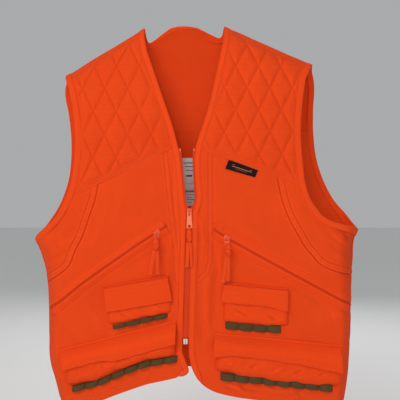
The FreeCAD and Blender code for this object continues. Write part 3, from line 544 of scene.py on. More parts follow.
M_TAB = plastic("tab_enamel", (0.95, 0.20, 0.070), 0.44, spec=0.4, noise=0.10, scale=260.0)
M_METAL = plastic("zip_box_metal", (0.72, 0.70, 0.68), 0.30, metal=1.0, noise=0.3, scale=700.0, bump=0.05)
M_RIBBON = fabric("pull_ribbon", (0.95, 0.080, 0.012), (0.88, 0.070, 0.010), twill=0.6, rot=(0, 0, 0))
M_ELASTIC = fabric("shell_loop_elastic", (0.118, 0.078, 0.030), (0.092, 0.060, 0.022), twill=1.5, rot=(0, 0, 0), bump=0.3, sheen=0.05, mott=0.8)
M_BLACK = fabric("label_black_satin", (0.012, 0.009, 0.008), (0.018, 0.012, 0.010), twill=0.5, sheen=0.05)
M_PRINT = plastic("label_orange_yarn", (0.62, 0.15, 0.07), 0.6, noise=0.3, scale=1500.0)
M_WHITE = fabric("label_white_satin", (0.90, 0.93, 0.95), (0.84, 0.88, 0.90), twill=0.5, rough=0.6, sheen=0.05)
M_TAB2 = plastic("pocket_tab_enamel", (0.90, 0.105, 0.026), 0.42, spec=0.35, noise=0.10, scale=260.0)
M_OLIVE_THREAD = plastic("olive_thread", (0.045, 0.030, 0.012), 0.7, noise=0.2, scale=1500.0)
M_INK = plastic("label_ink", (0.03, 0.026, 0.024), 0.7, noise=0.2)

# ============================================================ folds and creases shared by the fronts
RNG = np.random.default_rng(7)
WAVES = []
for _ in range(22):
    a = RNG.uniform(0, math.pi); lam = RNG.uniform(38, 150); WAVES.append((math.cos(a) / lam, math.sin(a) / lam, RNG.uniform(0, 6.28), 0.0042 * lam * RNG.uniform(.5, 1)))
def waves(u, v, k=1.0):
    x, z = u * G, v * G
    return k * sum(am * np.sin(2 * math.pi * (x * p + z * q) + ph) for p, q, ph, am in WAVES)

FOLDS = [  # polyline, half width mm, height mm
    ([(174.5, 152), (175.5, 190), (177.5, 235)], 5, 0.9), ([(171, 160), (173, 205), (176, 250)], 4, -1.0),
    ([(179, 232), (177, 262), (176.5, 292), (177.5, 318)], 7, 2.0), ([(173.5, 238), (172.5, 262), (174, 284)], 6, -1.6),
    ([(98, 350), (112, 336), (124, 322), (131, 308)], 6, 1.1), ([(106, 350), (121, 336), (133, 324)], 5, -0.9), ([(118, 349), (133, 333)], 5, 0.8),
    ([(82, 300), (96, 316), (100, 338)], 10, 1.3), ([(60, 325), (72, 335), (80, 350)], 9, -1.2),
    ([(124, 180), (118, 205), (112, 232)], 12, 1.1), ([(146, 170), (143, 195), (138, 220)], 11, -0.9), ([(105, 210), (99, 228), (88, 252)], 9, 1.0),
    ([(56, 246), (70, 240), (84, 231)], 8, 1.4), ([(46, 262), (60, 254), (72, 250)], 6, -1.0), ([(45, 276), (56, 270)], 5, 0.8),
    ([(208, 262), (206.5, 290), (207, 320), (210, 350)], 8, 1.9), ([(215, 268), (213.5, 300), (211, 328)], 7, -1.9), ([(199, 285), (198.5, 320), (200.5, 352)], 6, -1.2),
    ([(203, 160), (204, 200), (203.5, 245)], 5, 0.8), ([(211, 236), (214, 262), (217, 282)], 5, -1.3), ([(220, 240), (219, 262), (222, 280)], 5, 1.2),
    ([(336, 226), (343, 233), (352, 241)], 4, -2.2), ([(330, 232), (340, 240), (350, 247)], 5, 1.8), ([(326, 240), (338, 251), (351, 258)], 6, -1.5),
    ([(312, 222), (322, 236), (334, 246)], 7, 1.2), ([(322, 300), (338, 296), (350, 290)], 7, -1.4), ([(330, 318), (345, 312)], 9, 1.6), ([(300, 300), (316, 312), (322, 330)], 10, 0.9),
    ([(282, 190), (278, 215), (280, 240)], 12, 0.9), ([(252, 190), (250, 215), (256, 235)], 13, -0.8),
    ([(226, 384), (238, 388), (243, 394)], 3.5, 1.5), ([(236, 383), (246, 390), (258, 392)], 3.5, -1.4), ([(262, 388), (275, 392), (290, 391)], 4, 1.2), ([(296, 390), (300, 398), (297, 404)], 4, -1.2),
    ([(148, 372), (142, 380)], 4, 1.0), ([(112, 386), (120, 391)], 4, -1.0), ([(92, 396), (100, 401)], 5, 1.2), ([(70, 398), (78, 406)], 5, -1.0),
    ([(199, 215), (203, 232), (204, 250)], 5, 1.6), ([(196.5, 222), (198.5, 250), (197.5, 280)], 4, -1.0), ([(183, 214), (181, 240), (180.5, 262)], 4, 0.9),
]
ARMPIT = [([(316, 300), (350, 306)], 9, 1.0)]
def folds(u, v):
    out = waves(u, v)
    for poly, w, h in FOLDS:
        lo = np.min(np.array(poly), 0) - 3.2 * w / G; hi = np.max(np.array(poly), 0) + 3.2 * w / G
        m = (u > lo[0]) & (u < hi[0]) & (v > lo[1]) & (v < hi[1])
        if not m.any(): continue
        d, al = dist(u[m], v[m], poly)
        add = h * np.exp(-(d / w) ** 2) * np.clip(np.sin(math.pi * np.clip(al, 0.04, 0.96)) * 1.6, 0, 1)
        out = out.copy(); out[m] += add
    dz = np.minimum(dist(u, v, ZIP_R)[0], dist(u, v, ZIP_L)[0])      # flat along the hand pocket zips
    t = np.clip((dz - 10.0) / 16.0, 0, 1)
    return out * t * t * (3 - 2 * t)

def groove(u, v, poly, at, w=1.15, h=0.6):
    d, _ = dist(u, v, poly)
    return -h * np.exp(-((d - at) / w) ** 2)

FACE_R = [(167.5, 149.5), (168.5, 160), (172.5, 200), (177.5, 246), (179.5, 280)]
FACE_L = [(207.5, 152), (208.3, 190), (208.6, 240), (208.3, 260), (204.5, 272), (198, 278), (190.5, 281.5)]
ZIP_R = [(166.0, 226.4), (139.0, 243.6), (112.4, 261.9), (82.0, 283.6), (68.0, 295.0), (50.6, 309.6), (49.6, 310.4)]
ZIP_L = [(214.6, 230.0), (232.0, 240.8), (264.8, 259.0), (301.0, 278.5), (331.5, 295.0), (349.7, 305.2), (352.6, 306.9)]
BAND_R = [(62.0, 352.0), (181, 320)]

FSM = {False: sorted(FACE_R, key=lambda p: p[1]), True: sorted(FACE_L, key=lambda p: p[1])}
def n_panel(left):
    prin, yoke, face, zipl = (PRIN_L, YOKE_L, FACE_L, ZIP_L) if left else (PRIN_R, YOKE_R, FACE_R, ZIP_R)
    def nf(u, v):
        n = 1.3 + folds(u, v)
        d, al = dist(u, v, prin)
        side = np.where((u - at_v(prin, v)) * (-1 if left else 1) > 0, -1.0, 1.0)
        on = side > 0
        for at in (0.4, 10.4):
            n = n - (0.75 if at < 1 else 0.6) * np.exp(-((d - at) / 1.0) ** 2) * (on | (at < 1))
        n = n + (0.45 + 0.16 * np.sin(al * 150 + 2 * np.sin(al * 31))) * np.exp(-((d - 5.4) / 3.6) ** 4) * on
        out = (u - at_v(FSM[left], v)) * (1 if left else -1) > -1.5
        for at in (0.0, 7.6):
            n = n + groove(u, v, face, at, w=1.0, h=0.85) * (out | (at < 1))
        d, _ = dist(u, v, zipl)
        n = n - 1.1 * np.exp(-(d / 3.2) ** 4)                  # the zip lies in a slot between its welts
        n = n + groove(u, v, zipl, 12.4, h=0.45)
        return n
    return nf
NP = {False: n_panel(False), True: n_panel(True)}

def quilt(u, v, left):
    u0, v0, du, dv = (224.4, 132.0, 22.9, 44.6) if left else (92.9, 111.4, 23.2, 46.4)
    a = (u - u0) / du + (v - v0) / dv; b = (u - u0) / du - (v - v0) / dv
    c = np.minimum(np.abs(np.sin(math.pi * a)), np.abs(np.sin(math.pi * b)))
    return 3.7 * (1 - (1 - c) ** 2.2) - 0.5 * np.exp(-(c / 0.10) ** 2) + 0.16 * np.sin(v * 1.25 + 0.6 * np.sin(u * 0.21)) * c
def n_yoke(left):
    yoke = YOKE_L if left else YOKE_R
    arm = ARM_L if left else ARM_R
    edge = EDGE_L if left else EDGE_R
    def nf(u, v):
        d1, _ = dist(u, v, yoke); d2, _ = dist(u, v, arm); d3, _ = dist(u, v, edge)
        d4 = np.maximum(v - sh_v(u), 0) * G * 0.85
        k = np.minimum(np.minimum(d1 - 5.0, d2 - BIND * G), np.minimum(d3 - BIND * G, d4 - 8.5))
        k = np.clip(k / 12.0, 0, 1) ** 0.7
        n = 2.0 + quilt(u, v, left) * k + waves(u, v, 0.55)
        n = n + groove(u, v, yoke, 1.9, h=0.6) + groove(u, v, yoke, 7.6, h=0.6)
        n = n - 0.9 * np.exp(-((d4 - 10.0) / 1.2) ** 2)             # shoulder seam, forward of the ridge
        return n
    return nf
NY = {False: n_yoke(False), True: n_yoke(True)}

# ============================================================ fronts
def cross(f, g, lo, hi):
    for _ in range(50):
        m = 0.5 * (lo + hi)
        if (f(lo) - g(lo)) * (f(m) - g(m)) <= 0: hi = m
        else: lo = m
    return 0.5 * (lo + hi)
def line_u(seg, v):
    q = sorted((b, a) for a, b in seg)
    return np.interp(v, [x[0] for x in q], [x[1] for x in q])

def arm_in(poly, w, first, last):
    o = offset(poly, w); o[0], o[-1] = first, last
    o = [o[0]] + [p for p in o[1:-1] if first[1] + 0.5 < p[1] < last[1] - 0.5] + [o[-1]]
    o.sort(key=lambda p: p[1])
    return o
AIN_R = arm_in(ARM_R, BIND, (67.3, float(sh_v(67.3))), (float(side_u(246.0, False)), 246.0))
AIN_L = arm_in(ARM_L, -BIND, (310.0, float(sh_v(310.0))), (float(side_u(237.0, True)), 237.0))
AIN_RB = arm_in(ARM_RB, BIND, (67.3, float(sh_v(67.3))), (float(side_u(246.0, False)), 246.0))
AIN_LB = arm_in(ARM_LB, -BIND, (310.0, float(sh_v(310.0))), (float(side_u(237.0, True)), 237.0))

root_pieces = {}
def put(o, node, body="root", slot="shell_cloth"):
    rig.ride(o, body)
    if node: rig.replaces(o, *([node] if isinstance(node, str) else node))
    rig.slot(o, slot)
    return o
def sheet(o, A, held="hung", rests=(), with_pieces=()):
    lo, hi = A.reshape(-1, 3).min(0), A.reshape(-1, 3).max(0)
    ar = area_of(A)
    w = float(max(hi[0] - lo[0], 0.02)); l = float(max(hi[2] - lo[2], ar / w * 1.02, 0.02))
    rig.sheet(o, flat=(w, l), held=held, rests_on=list(rests), area=max(ar, 0.31 * w * l), with_pieces=list(with_pieces))

ein_r = lambda v: at_v(EDGE_R, v) - BIND
ein_l = lambda v: at_v(EDGE_L, v) + BIND
vy = cross(lambda v: line_u(YOKE_R, v), ein_r, 147.0, 150.0)
va = cross(lambda v: line_u(YOKE_R, v), lambda v: at_v(AIN_R, v), 186.0, 196.9)
vt = cross(lambda v: sh_u(v, False), ein_r, 24.0, 40.0)
wy = cross(lambda v: line_u(YOKE_L, v), ein_l, 148.6, 153.0)
wa = cross(lambda v: line_u(YOKE_L, v), lambda v: at_v(AIN_L, v), 178.0, 189.0)
wt = cross(lambda v: sh_u(v, True), ein_l, 22.0, 40.0)
OV = 1.0   # seam overlap of the upper piece, grid steps

yr, A = cloth("right_yoke_quilted", M_YOKE, vt, va + 1.2, lambda v: sh_u(v, False) if v <= AIN_R[0][1] else min(at_v(AIN_R, v) - OV, 400),
   lambda v: max(ein_r(v) + OV if v <= vy else line_u(YOKE_R, v) + 2.2, (sh_u(v, False) if v <= AIN_R[0][1] else at_v(AIN_R, v) - OV) + 0.02), NY[False], 4.2, step=2.2)
put(yr, ["right_front_yoke", "right_yoke_padding"]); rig.padded(yr, fill=0.35)
yl_, A = cloth("left_yoke_quilted", M_YOKE, wt, wa + 1.2, lambda v: min(ein_l(v) - OV if v <= wy else line_u(YOKE_L, v) - 2.2, (sh_u(v, True) if v <= AIN_L[0][1] else at_v(AIN_L, v) + OV) - 0.02),
   lambda v: sh_u(v, True) if v <= AIN_L[0][1] else at_v(AIN_L, v) + OV, NY[True], 4.2, step=2.2)
put(yl_, ["left_front_yoke", "left_yoke_padding"]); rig.padded(yl_, fill=0.35)

vs, ws = PRIN_R[-1][1], PRIN_L[-1][1]
o, A = cloth("right_side_panel_cloth", M_SHELL, 183.17, vs, lambda v: line_u(YOKE_R, v) if v <= va else (at_v(AIN_R, v) - OV if v <= 246.0 else side_u(v, False)), lambda v: at_v(PRIN_R, v) + 0.01,
   NP[False], 1.3, extra=(246.0,)); put(o, "right_side_panel"); sheet(o, A)
o, A = cloth("left_side_panel_cloth", M_SHELL, 176.43, ws, lambda v: at_v(PRIN_L, v) - 0.01, lambda v: line_u(YOKE_L, v) if v <= wa else (at_v(AIN_L, v) + OV if v <= 237.0 else side_u(v, True)),
   NP[True], 1.3, extra=(237.0,)); put(o, "left_side_panel"); sheet(o, A)
o, A = cloth("right_front_cloth", M_SHELL, vy, 412.0, lambda v: line_u(YOKE_R, v) if v <= 183.17 else (at_v(PRIN_R, v) if v <= vs else side_u(v, False)),
   lambda v: max(ein_r(v) + OV if v <= 369.0 else at_v(HEM_R, v), side_u(v, False) + 0.02) if v > 183.17 else ein_r(v) + OV, NP[False], 1.3, extra=(183.17, vs, 370.0, 377.5)); put(o, "right_front_panel"); sheet(o, A)
o, A = cloth("left_front_cloth", M_SHELL, wy, 410.0, lambda v: ein_l(v) - OV if v <= 373.0 else min(at_v(HEM_L, v), side_u(v, True) - 0.02),
   lambda v: line_u(YOKE_L, v) if v <= 176.43 else (at_v(PRIN_L, v) if v <= ws else side_u(v, True)), NP[True], 1.3, extra=(176.43, ws, 373.0)); put(o, "left_front_panel"); sheet(o, A)

def n_face(left):
    e = EDGE_L if left else EDGE_R
    def nf(u, v):
        d, _ = dist(u, v, e)
        return 2.6 + 0.5 * np.sin(np.clip(d / (BIND * G), 0, 1) * math.pi) + waves(u, v, 0.6) - 0.55 * np.exp(-((d - (BIND * G - 1.6)) / 0.9) ** 2) + 0.0
    return nf
NFc = {False: n_face(False), True: n_face(True)}
o, A = cloth("right_front_facing_cloth", M_BIND, 23.6, 376.2, lambda v: sh_u(v, False) if v <= vt else (ein_r(v) if v <= 369.0 else min(182.6, at_v(HEM_R, v))), lambda v: at_v(EDGE_R, v), NFc[False], 2.6, step=1.3, dv=1.4, extra=(vt,)); put(o, "right_front_facing", slot="shell_cloth")
o, A = cloth("left_front_facing_cloth", M_BIND, 21.8, 388.2, lambda v: at_v(EDGE_L, v), lambda v: sh_u(v, True) if v <= wt else (ein_l(v) if v <= 373.0 else max(at_v(HEM_L, v) + 0.1, at_v(EDGE_L, v) + 0.2)), NFc[True], 2.6, step=1.3, dv=1.4, extra=(wt,)); put(o, "left_front_facing", slot="shell_cloth")

# ============================================================ armhole bindings: a rolled bias strip round each opening
def bind_strip(name, arm, inner, back, sgn):
    pts = np.array(inner, float)
    s = np.concatenate([[0], np.cumsum(np.linalg.norm(np.diff(pts, axis=0), axis=1))])
    t = np.linspace(0, s[-1], int(s[-1] * G / 2.4))
    p = np.stack([np.interp(t, s, pts[:, k]) for k in range(2)], 1)
    for _ in range(6):
        p[1:-1] = 0.25 * p[:-2] + 0.5 * p[1:-1] + 0.25 * p[2:]
    d = np.gradient(p, axis=0); d /= np.linalg.norm(d, axis=1)[:, None]
    nr = np.stack([d[:, 1], -d[:, 0]], 1) * sgn
    end = np.array([arm[0], arm[-1]], float)
    a0 = (end[0] - p[0]) / BIND; a1 = (end[1] - p[-1]) / BIND
    k = np.linspace(0, 1, len(p))[:, None]
    w0 = np.clip(1 - k * 12, 0, 1); w1 = np.clip(1 - (1 - k) * 12, 0, 1)
    nr = nr * (1 - w0 - w1) + a0 * w0 + a1 * w1
    f = fracs(6, BIND * G, 1.2)
    U = p[:, 0:1] + nr[:, 0:1] * f * BIND; Vv = p[:, 1:2] + nr[:, 1:2] * f * BIND
    e = np.sqrt(np.clip(1 - (1 - np.clip(np.minimum(f, 1 - f) * BIND * G / 1.4, 0, 1)) ** 2, 0, 1))
    n = 3.0 + 0.5 * np.sin(f * math.pi) - 0.6 * np.exp(-((f - 0.14) / 0.06) ** 2)
    n = np.repeat(n[None, :], len(p), 0) + 0.25 * np.sin(np.linspace(0, 60, len(p)))[:, None]
    th = 3.6
    A = P(U, Vv, n - th / 2 + th / 2 * e, back); B = P(U, Vv, n - th / 2 - th / 2 * np.maximum(e, 0.05), back)
    o = slab_obj(name, A, B, M_BIND)
    j = 5
    st = A[:, j]; nn = (P(U[:, j], Vv[:, j], n[:, j] + 1, back) - P(U[:, j], Vv[:, j], n[:, j], back)) / MM
    stitch("edge_stitching", st, nn, lift=-0.05)
    return o
for side, left in (("right", False), ("left", True)):
    g = -1 if not left else 1
    a = bind_strip(side + "_armhole_binding_front", ARM_L if left else ARM_R, AIN_L if left else AIN_R, False, g)
    b = bind_strip(side + "_armhole_binding_back", ARM_LB if left else ARM_RB, AIN_LB if left else AIN_RB, True, g)
    put(a, side + "_armhole_binding", slot="binding_cloth"); put(b, None, slot="binding_cloth")

# ============================================================ back
def n_back(u, v):
    n = 1.3 + waves(u + 300, v, 1.3)
    n = n - 0.8 * np.exp(-(((v - 126.5) * G) / 1.6) ** 2) + 0.5 * np.exp(-(((v - 130.5) * G) / 4) ** 2)
    d = np.minimum(np.abs(u - 188 - 52) , np.abs(u - 188 + 48)) * G
    n = n + 2.6 * np.exp(-(d / 16) ** 2) * np.clip((v - 135) / 60, 0, 1)       # two soft drapes down the back
    n = n + 1.4 * np.sin((u - 60) * 0.055) * np.clip((v - 200) / 150, 0, 1)
    return n
bl = lambda v: sh_u(v, False) if v <= AIN_RB[0][1] else (at_v(AIN_RB, v) - OV if v <= 246.0 else side_u(v, False))
br = lambda v: sh_u(v, True) if v <= AIN_LB[0][1] else (at_v(AIN_LB, v) + OV if v <= 237.0 else side_u(v, True))
def back_sheet(name, v0, v1, top=None, bot=None, nf=n_back, th=1.3, mat=M_SHELL, step=3.4, extra=()):
    "rows whose first and last ones bend to the neck and the hem"
    lv = sorted(set(list(np.linspace(v0, v1, int((v1 - v0) * G / step))) + [e for e in extra if v0 < e < v1]))
    lv = np.array(lv)
    L = np.array([float(bl(x)) for x in lv]); R = np.array([float(br(x)) for x in lv])
    f = np.concatenate([np.linspace(0, 0.12, 26)[:-1], np.linspace(0.12, 0.88, int(300 * G / step)), np.linspace(0.88, 1, 26)[1:]])
    U = L[:, None] + (R - L)[:, None] * f
    Vv = np.repeat(lv[:, None], len(f), 1)
    if top is not None:
        k = np.clip(1 - (Vv - v0) / 26.0, 0, 1) ** 1.5
        Vv = Vv + (top(U) - v0) * k
    if bot is not None:
        k = np.clip(1 - (v1 - Vv) / 60.0, 0, 1) ** 1.5
        Vv = Vv + (bot(U) - v1) * k
        lo_, hi_ = side_u(Vv, False), side_u(Vv, True)
        U = np.where(Vv > 300, lo_ + (hi_ - lo_) * f, U)
    n = nf(U, Vv)
    A = P(U, Vv, n, True); B = P(U, Vv, n - th, True)
    # the relief passed on here becomes painted shade in the material
    return slab_obj(name, A, B, mat, crease_of(nf, U, Vv, n)), A
def neck_lift(u):
    "the middle of the back neck stands higher than its two low corners"
    return np.interp(u, [144.9, 146.4, 148.4, 152, 158, 165, 171, 176, 181, 191, 197, 209, 214.5, 218.6, 221.0, 222.8, 224.0],
                     [0, -1.5, -3.5, -4.8, -5.3, -5.8, -6.1, -5.8, -5.4, -5.4, -5.5, -5.2, -5.0, -4.4, -3.4, -1.8, 0])
def neck_curve(u):
    return neck_lift(u) + np.interp(u, [140.0, 143.8, 144.6, 146.2, 148.4, 152, 158, 165, 171, 176, 181, 186, 191, 197, 203, 209, 214.5, 218.6, 221.0, 222.8, 224.0, 228.0],
                     [27.0, 28.0, 34.0, 39.0, 40.8, 39.6, 36.2, 32.4, 29.6, 27.9, 27.2, 27.2, 27.6, 29.2, 31.3, 33.6, 35.6, 36.6, 36.0, 33.0, 28.0, 27.0])
def hem_back(u):
    c = np.abs(u - 196) / 150.0
    return 377.0 + 29.0 * np.clip(c, 0, 1) ** 2.6
o, A = back_sheet("back_yoke_cloth", 27.0, 128.0, top=neck_curve, extra=(AIN_RB[0][1], AIN_LB[0][1])); put(o, "back_yoke"); sheet(o, A)
o, A = back_sheet("back_panel_cloth", 126.5, 384.0, bot=hem_back, nf=lambda u, v: n_back(u, v) + 0.02, extra=(246.0, 237.0)); put(o, "back_panel"); sheet(o, A)
# neck binding across the back
nb = np.array([(143.3, 24.2), (143.9, 29.0), (144.9, 34.0), (146.4, 38.2), (148.8, 40.0), (152, 38.9), (158, 35.5), (165, 31.7), (171, 28.9), (176, 27.2), (181, 26.5), (186, 26.5), (191, 26.9), (197, 28.5), (203, 30.6), (209, 32.9), (214.5, 34.9), (218.4, 35.9), (220.8, 35.2), (222.6, 32.4), (223.7, 28.0), (224.4, 23.2)])
nb[:, 1] += neck_lift(nb[:, 0])
sN = np.concatenate([[0], np.cumsum(np.linalg.norm(np.diff(nb, axis=0), axis=1))]); tN = np.linspace(0, sN[-1], 110)
nu, nv = np.interp(tN, sN, nb[:, 0]), np.interp(tN, sN, nb[:, 1])
for _ in range(4):
    nu[1:-1] = 0.25 * nu[:-2] + 0.5 * nu[1:-1] + 0.25 * nu[2:]; nv[1:-1] = 0.25 * nv[:-2] + 0.5 * nv[1:-1] + 0.25 * nv[2:]
f = fracs(5, BIND * G, 1.2)
nd = np.stack([np.gradient(nu), np.gradient(nv)], 1); nd /= np.linalg.norm(nd, axis=1)[:, None]
nx, ny = -nd[:, 1], nd[:, 0]
wN = BIND * (0.45 + 0.55 * np.clip(np.minimum(tN, tN[-1] - tN) / 14.0, 0, 1))
# the strip turns in from the shoulder tips without folding over itself
U = nu[:, None] + f[None, :] * (wN * nx)[:, None]; Vv = nv[:, None] - 0.4 + f[None, :] * (wN * ny)[:, None]
e = np.sqrt(np.clip(1 - (1 - np.clip(np.minimum(f, 1 - f) * BIND * G / 1.4, 0, 1)) ** 2, 0, 1))
n = 2.5 + 0.4 * np.sin(f * math.pi)[None, :] + 0 * U
A = P(U, Vv, n - 1.9 + 1.9 * e, True); B = P(U, Vv, n - 1.9 - 1.9 * np.maximum(e, 0.05) - 0.3, True)
o = slab_obj("back_neck_binding_cloth", A, B, M_BIND); put(o, "back_neck_binding", slot="binding_cloth")
stitch("edge_stitching", B[8:-8, -4], (0, -1, 0)); stitch("edge_stitching", A[8:-8, -4], (0, 1, 0))

# ============================================================ topstitching on the fronts and back
def shifted(poly, w):
    return offset(poly, w)
for left in (False, True):
    NPf, NYf = NP[left], NY[left]
    s = 1 if left else -1
    yoke = YOKE_L if left else [(172.0, 147.15), (79.0, 192.6)]
    if left: yoke = [p for p in [(202.0, 149.3), (226.0, 158.0), (258.0, 169.5), (303.0, 186.0)]]
    yk = np.array(yoke, float)
    for w in (1.9, 7.6):
        q = [(a + 0.35 * s * w / G * 0.9, b - w / G * 0.93) for a, b in yoke]
        stitch("front_stitching", *surf_line(q, NYf))
    prin = PRIN_L if left else PRIN_R
    for w in (1.9, 8.9):
        q = shifted(prin, (-w if left else w) / G * (-1))
        q = q[2:-2]
        stitch("front_stitching", *surf_line(q, NPf))
    face = FACE_L if left else FACE_R
    q = smooth(sorted(face, key=lambda p: p[1])) if True else face
    for w in (0.0, 7.6):
        qq = shifted(q, (w if left else -w) / G)
        stitch("front_stitching", *surf_line([p for p in qq if p[1] > (153 if left else 149)], NPf))
    edge = [p for p in (EDGE_L if left else EDGE_R)]
    q = shifted(edge, (1 if left else -1) * (BIND * G - 1.6) / G)
    q = [p for p in q[1:] if p[1] < (372 if left else 362)]
    q += [(199.0, 378.4), (205.0, 385.0)] if left else [(182.0, 366.5), (181.6, 369.5), (179.3, 372.2), (176.0, 373.4)]
    stitch("edge_stitching", *surf_line(q, NFc[left]), lift=-0.05)
    hem = [p for p in (HEM_L if left else HEM_R)]
    q = [(a + (1.0 if left else -1.0) * 2.5, b - 5.0) for a, b in hem][1:-1]
    stitch("front_stitching", *surf_line(q, NPf))
for v in (124.6, 129.5):
    q = [(float(bl(v)) + 3, v), (float(br(v)) - 3, v)]
    a, nn = surf_line(q, n_back, True); stitch("back_stitching", a, nn)
    a2, _ = surf_line(q, lambda u, v: n_back(u, v) - 1.35, True); stitch("back_stitching", a2, -nn)
hb = [(u, float(hem_back(u)) - 6.0) for u in np.linspace(70, 338, 50)]
a, nn = surf_line(hb, n_back, True); stitch("back_stitching", a, nn)
a2, _ = surf_line(hb, lambda u, v: n_back(u, v) - 1.35, True); stitch("back_stitching", a2, -nn)

# ============================================================ strips along a line on the fronts (zip tapes, welts)
def path_uv(poly, step=2.0):
    p = np.array(poly, float)
    s = np.concatenate([[0], np.cumsum(np.linalg.norm(np.diff(p, axis=0), axis=1))]) * G
    t = np.linspace(0, s[-1], max(int(s[-1] / step), 2))
    q = np.stack([np.interp(t, s, p[:, 0]), np.interp(t, s, p[:, 1])], 1)
    for _ in range(8):
        q[1:-1] = 0.25 * q[:-2] + 0.5 * q[1:-1] + 0.25 * q[2:]
    d = np.gradient(q, axis=0); d /= np.linalg.norm(d, axis=1)[:, None]
    return q, d, t
def strip(name, poly, k0, k1, nprof, th, mat, cols=7, r=0.7, follow=None, back=False):
    "strip from k0 to k1 mm beside a line (positive to the right of travel); nprof(f) is its outer face"
    q, d, t = path_uv(poly)
    nr = np.stack([-d[:, 1], d[:, 0]], 1)
    w = abs(k1 - k0)
    f = fracs(cols, w, min(r, w * 0.2))
    k = (k0 + (k1 - k0) * f) / G
    U = q[:, 0:1] + nr[:, 0:1] * k; Vv = q[:, 1:2] + nr[:, 1:2] * k
    e = np.sqrt(np.clip(1 - (1 - np.clip(np.minimum(f, 1 - f) * w / min(r, w * .2), 0, 1)) ** 2, 0, 1))
    n = nprof(f)[None, :] + 0 * U
    sd = np.minimum(U - side_u(Vv, False), side_u(Vv, True) - U)
    n = 1.5 + (n - 1.5) * np.clip(sd / 7.0, 0.15, 1)
    if callable(th): th = th(f)[None, :] * np.clip(sd / 7.0, 0.4, 1)
    if follow is not None: n = n + follow(U, Vv)
    A = P(U, Vv, n - th / 2 + th / 2 * e, back); B = P(U, Vv, n - th / 2 - th / 2 * np.maximum(e, 0.05), back)
    return slab_obj(name, A, B, mat), A, (U, Vv, n)

def teeth(name, centres, across, along, out, mat, ln=2.6, rad=0.55, hgt=0.75):
    "coil turns: a rounded bead across the chain at each centre"
    Vs, Fs = [], []
    prof = [(-0.5, 0.25), (-0.38, 0.8), (0.0, 1.0), (0.38, 0.8), (0.5, 0.25)]
    for c, a, l, o in zip(centres, across, along, out):
        b = len(Vs)
        for f, r in prof:
            for g in range(6):
                an = 2 * math.pi * g / 6
                Vs.append(c + (a * f * ln + l * math.cos(an) * rad * r + o * math.sin(an) * hgt * r) * MM)
        for k in range(len(prof) - 1):
            for g in range(6):
                x = b + k * 6
                Fs.append((x + g, x + 6 + g, x + 6 + (g + 1) % 6, x + (g + 1) % 6))
        Fs.append(tuple(b + g for g in range(6))); Fs.append(tuple(b + 24 + g for g in range(5, -1, -1)))
    return new_obj(name, Vs, Fs, mat)

def line_teeth(name, poly, k, n0, mat, pitch=1.45, phase=0.0, follow=None, ln=2.5):
    q, d, t = path_uv(poly, 0.4)
    tt = np.arange(phase * pitch, t[-1], pitch)
    u = np.interp(tt, t, q[:, 0]); v = np.interp(tt, t, q[:, 1])
    du = np.interp(tt, t, d[:, 0]); dv = np.interp(tt, t, d[:, 1]); l = np.hypot(du, dv); du /= l; dv /= l
    u2, v2 = u - dv * k / G, v + du * k / G
    n = n0 + (follow(u2, v2) if follow is not None else 0 * u2)
    c = P(u2, v2, n); o = (P(u2, v2, n + 1) - c) / MM
    al = (P(u2 + du * 0.3, v2 + dv * 0.3, n) - c); al /= np.linalg.norm(al, axis=1)[:, None]
    ac = np.cross(al, o); ac /= np.linalg.norm(ac, axis=1)[:, None]
    ac2 = ac + al * 0.16
    return teeth(name, c, ac2, al, o, mat, ln=ln)

# ---- hand pocket zips: reversed coil, so the flat side of the tapes shows between two close lips
for side, left in (("right", False), ("left", True)):
    zl = ZIP_L if left else ZIP_R
    fo = lambda u, v: folds(u, v) * 1.0
    up, lo = (-1, 1) if left else (1, -1)
    tp = lambda f: 4.9 - 1.6 * np.clip((f - 0.19) / 0.08, 0, 1) - 0.5 * np.exp(-(f / 0.035) ** 2)
    a, A1, _ = strip(side + "_zip_tape_upper", zl, 0.15 * up, 6.4 * up, tp, 0.5, M_TAPE, cols=26, follow=fo)
    b, A2, _ = strip(side + "_zip_tape_lower", zl, 0.15 * lo, 6.4 * lo, tp, 0.5, M_TAPE, cols=26, follow=fo)
    put(a, side + "_pocket_zip_tape", slot="zip_tape"); put(b, None, slot="zip_tape")
    c = line_teeth(side + "_pocket_coil_upper", zl, 0.70 * up, 3.35, M_COIL, follow=fo, ln=1.1)
    d = line_teeth(side + "_pocket_coil_lower", zl, 0.70 * lo, 3.35, M_COIL, phase=0.5, follow=fo, ln=1.1)
    put(c, side + "_pocket_zip_coil", slot="zip_coil"); put(d, None, slot="zip_coil")
    for nm, sg in (("upper", up), ("lower", lo)):
        pr = lambda f: 4.55 + 0.15 * np.sin(f * math.pi) - 2.9 * np.clip((f - 0.30) / 0.70, 0, 1) ** 1.1 - 0.5 * np.exp(-((f - 0.17) / 0.05) ** 2) - 0.45 * np.exp(-((f - 0.80) / 0.05) ** 2)
        e, A3, (U, Vv, nn) = strip(side + "_welt_" + nm, zl, 2.0 * sg, 13.2 * sg, pr, lambda f: 0.75 + 0.9 * np.clip((f - 0.3) / 0.4, 0, 1), M_POCKET, cols=14, r=0.5, follow=fo)
        put(e, "pocket_welts" if (nm == "upper" and not left) else None)
        for ff in (0.17, 0.80):
            j = int(np.argmin(abs(np.linspace(0, 1, 14) * (1 - 7.2 * 0.5 / 11.3) + 3.6 * 0.5 / 11.3 - ff))) + 5
            stitch("front_stitching", A3[:, j], (0, -1, 0), lift=0.02)

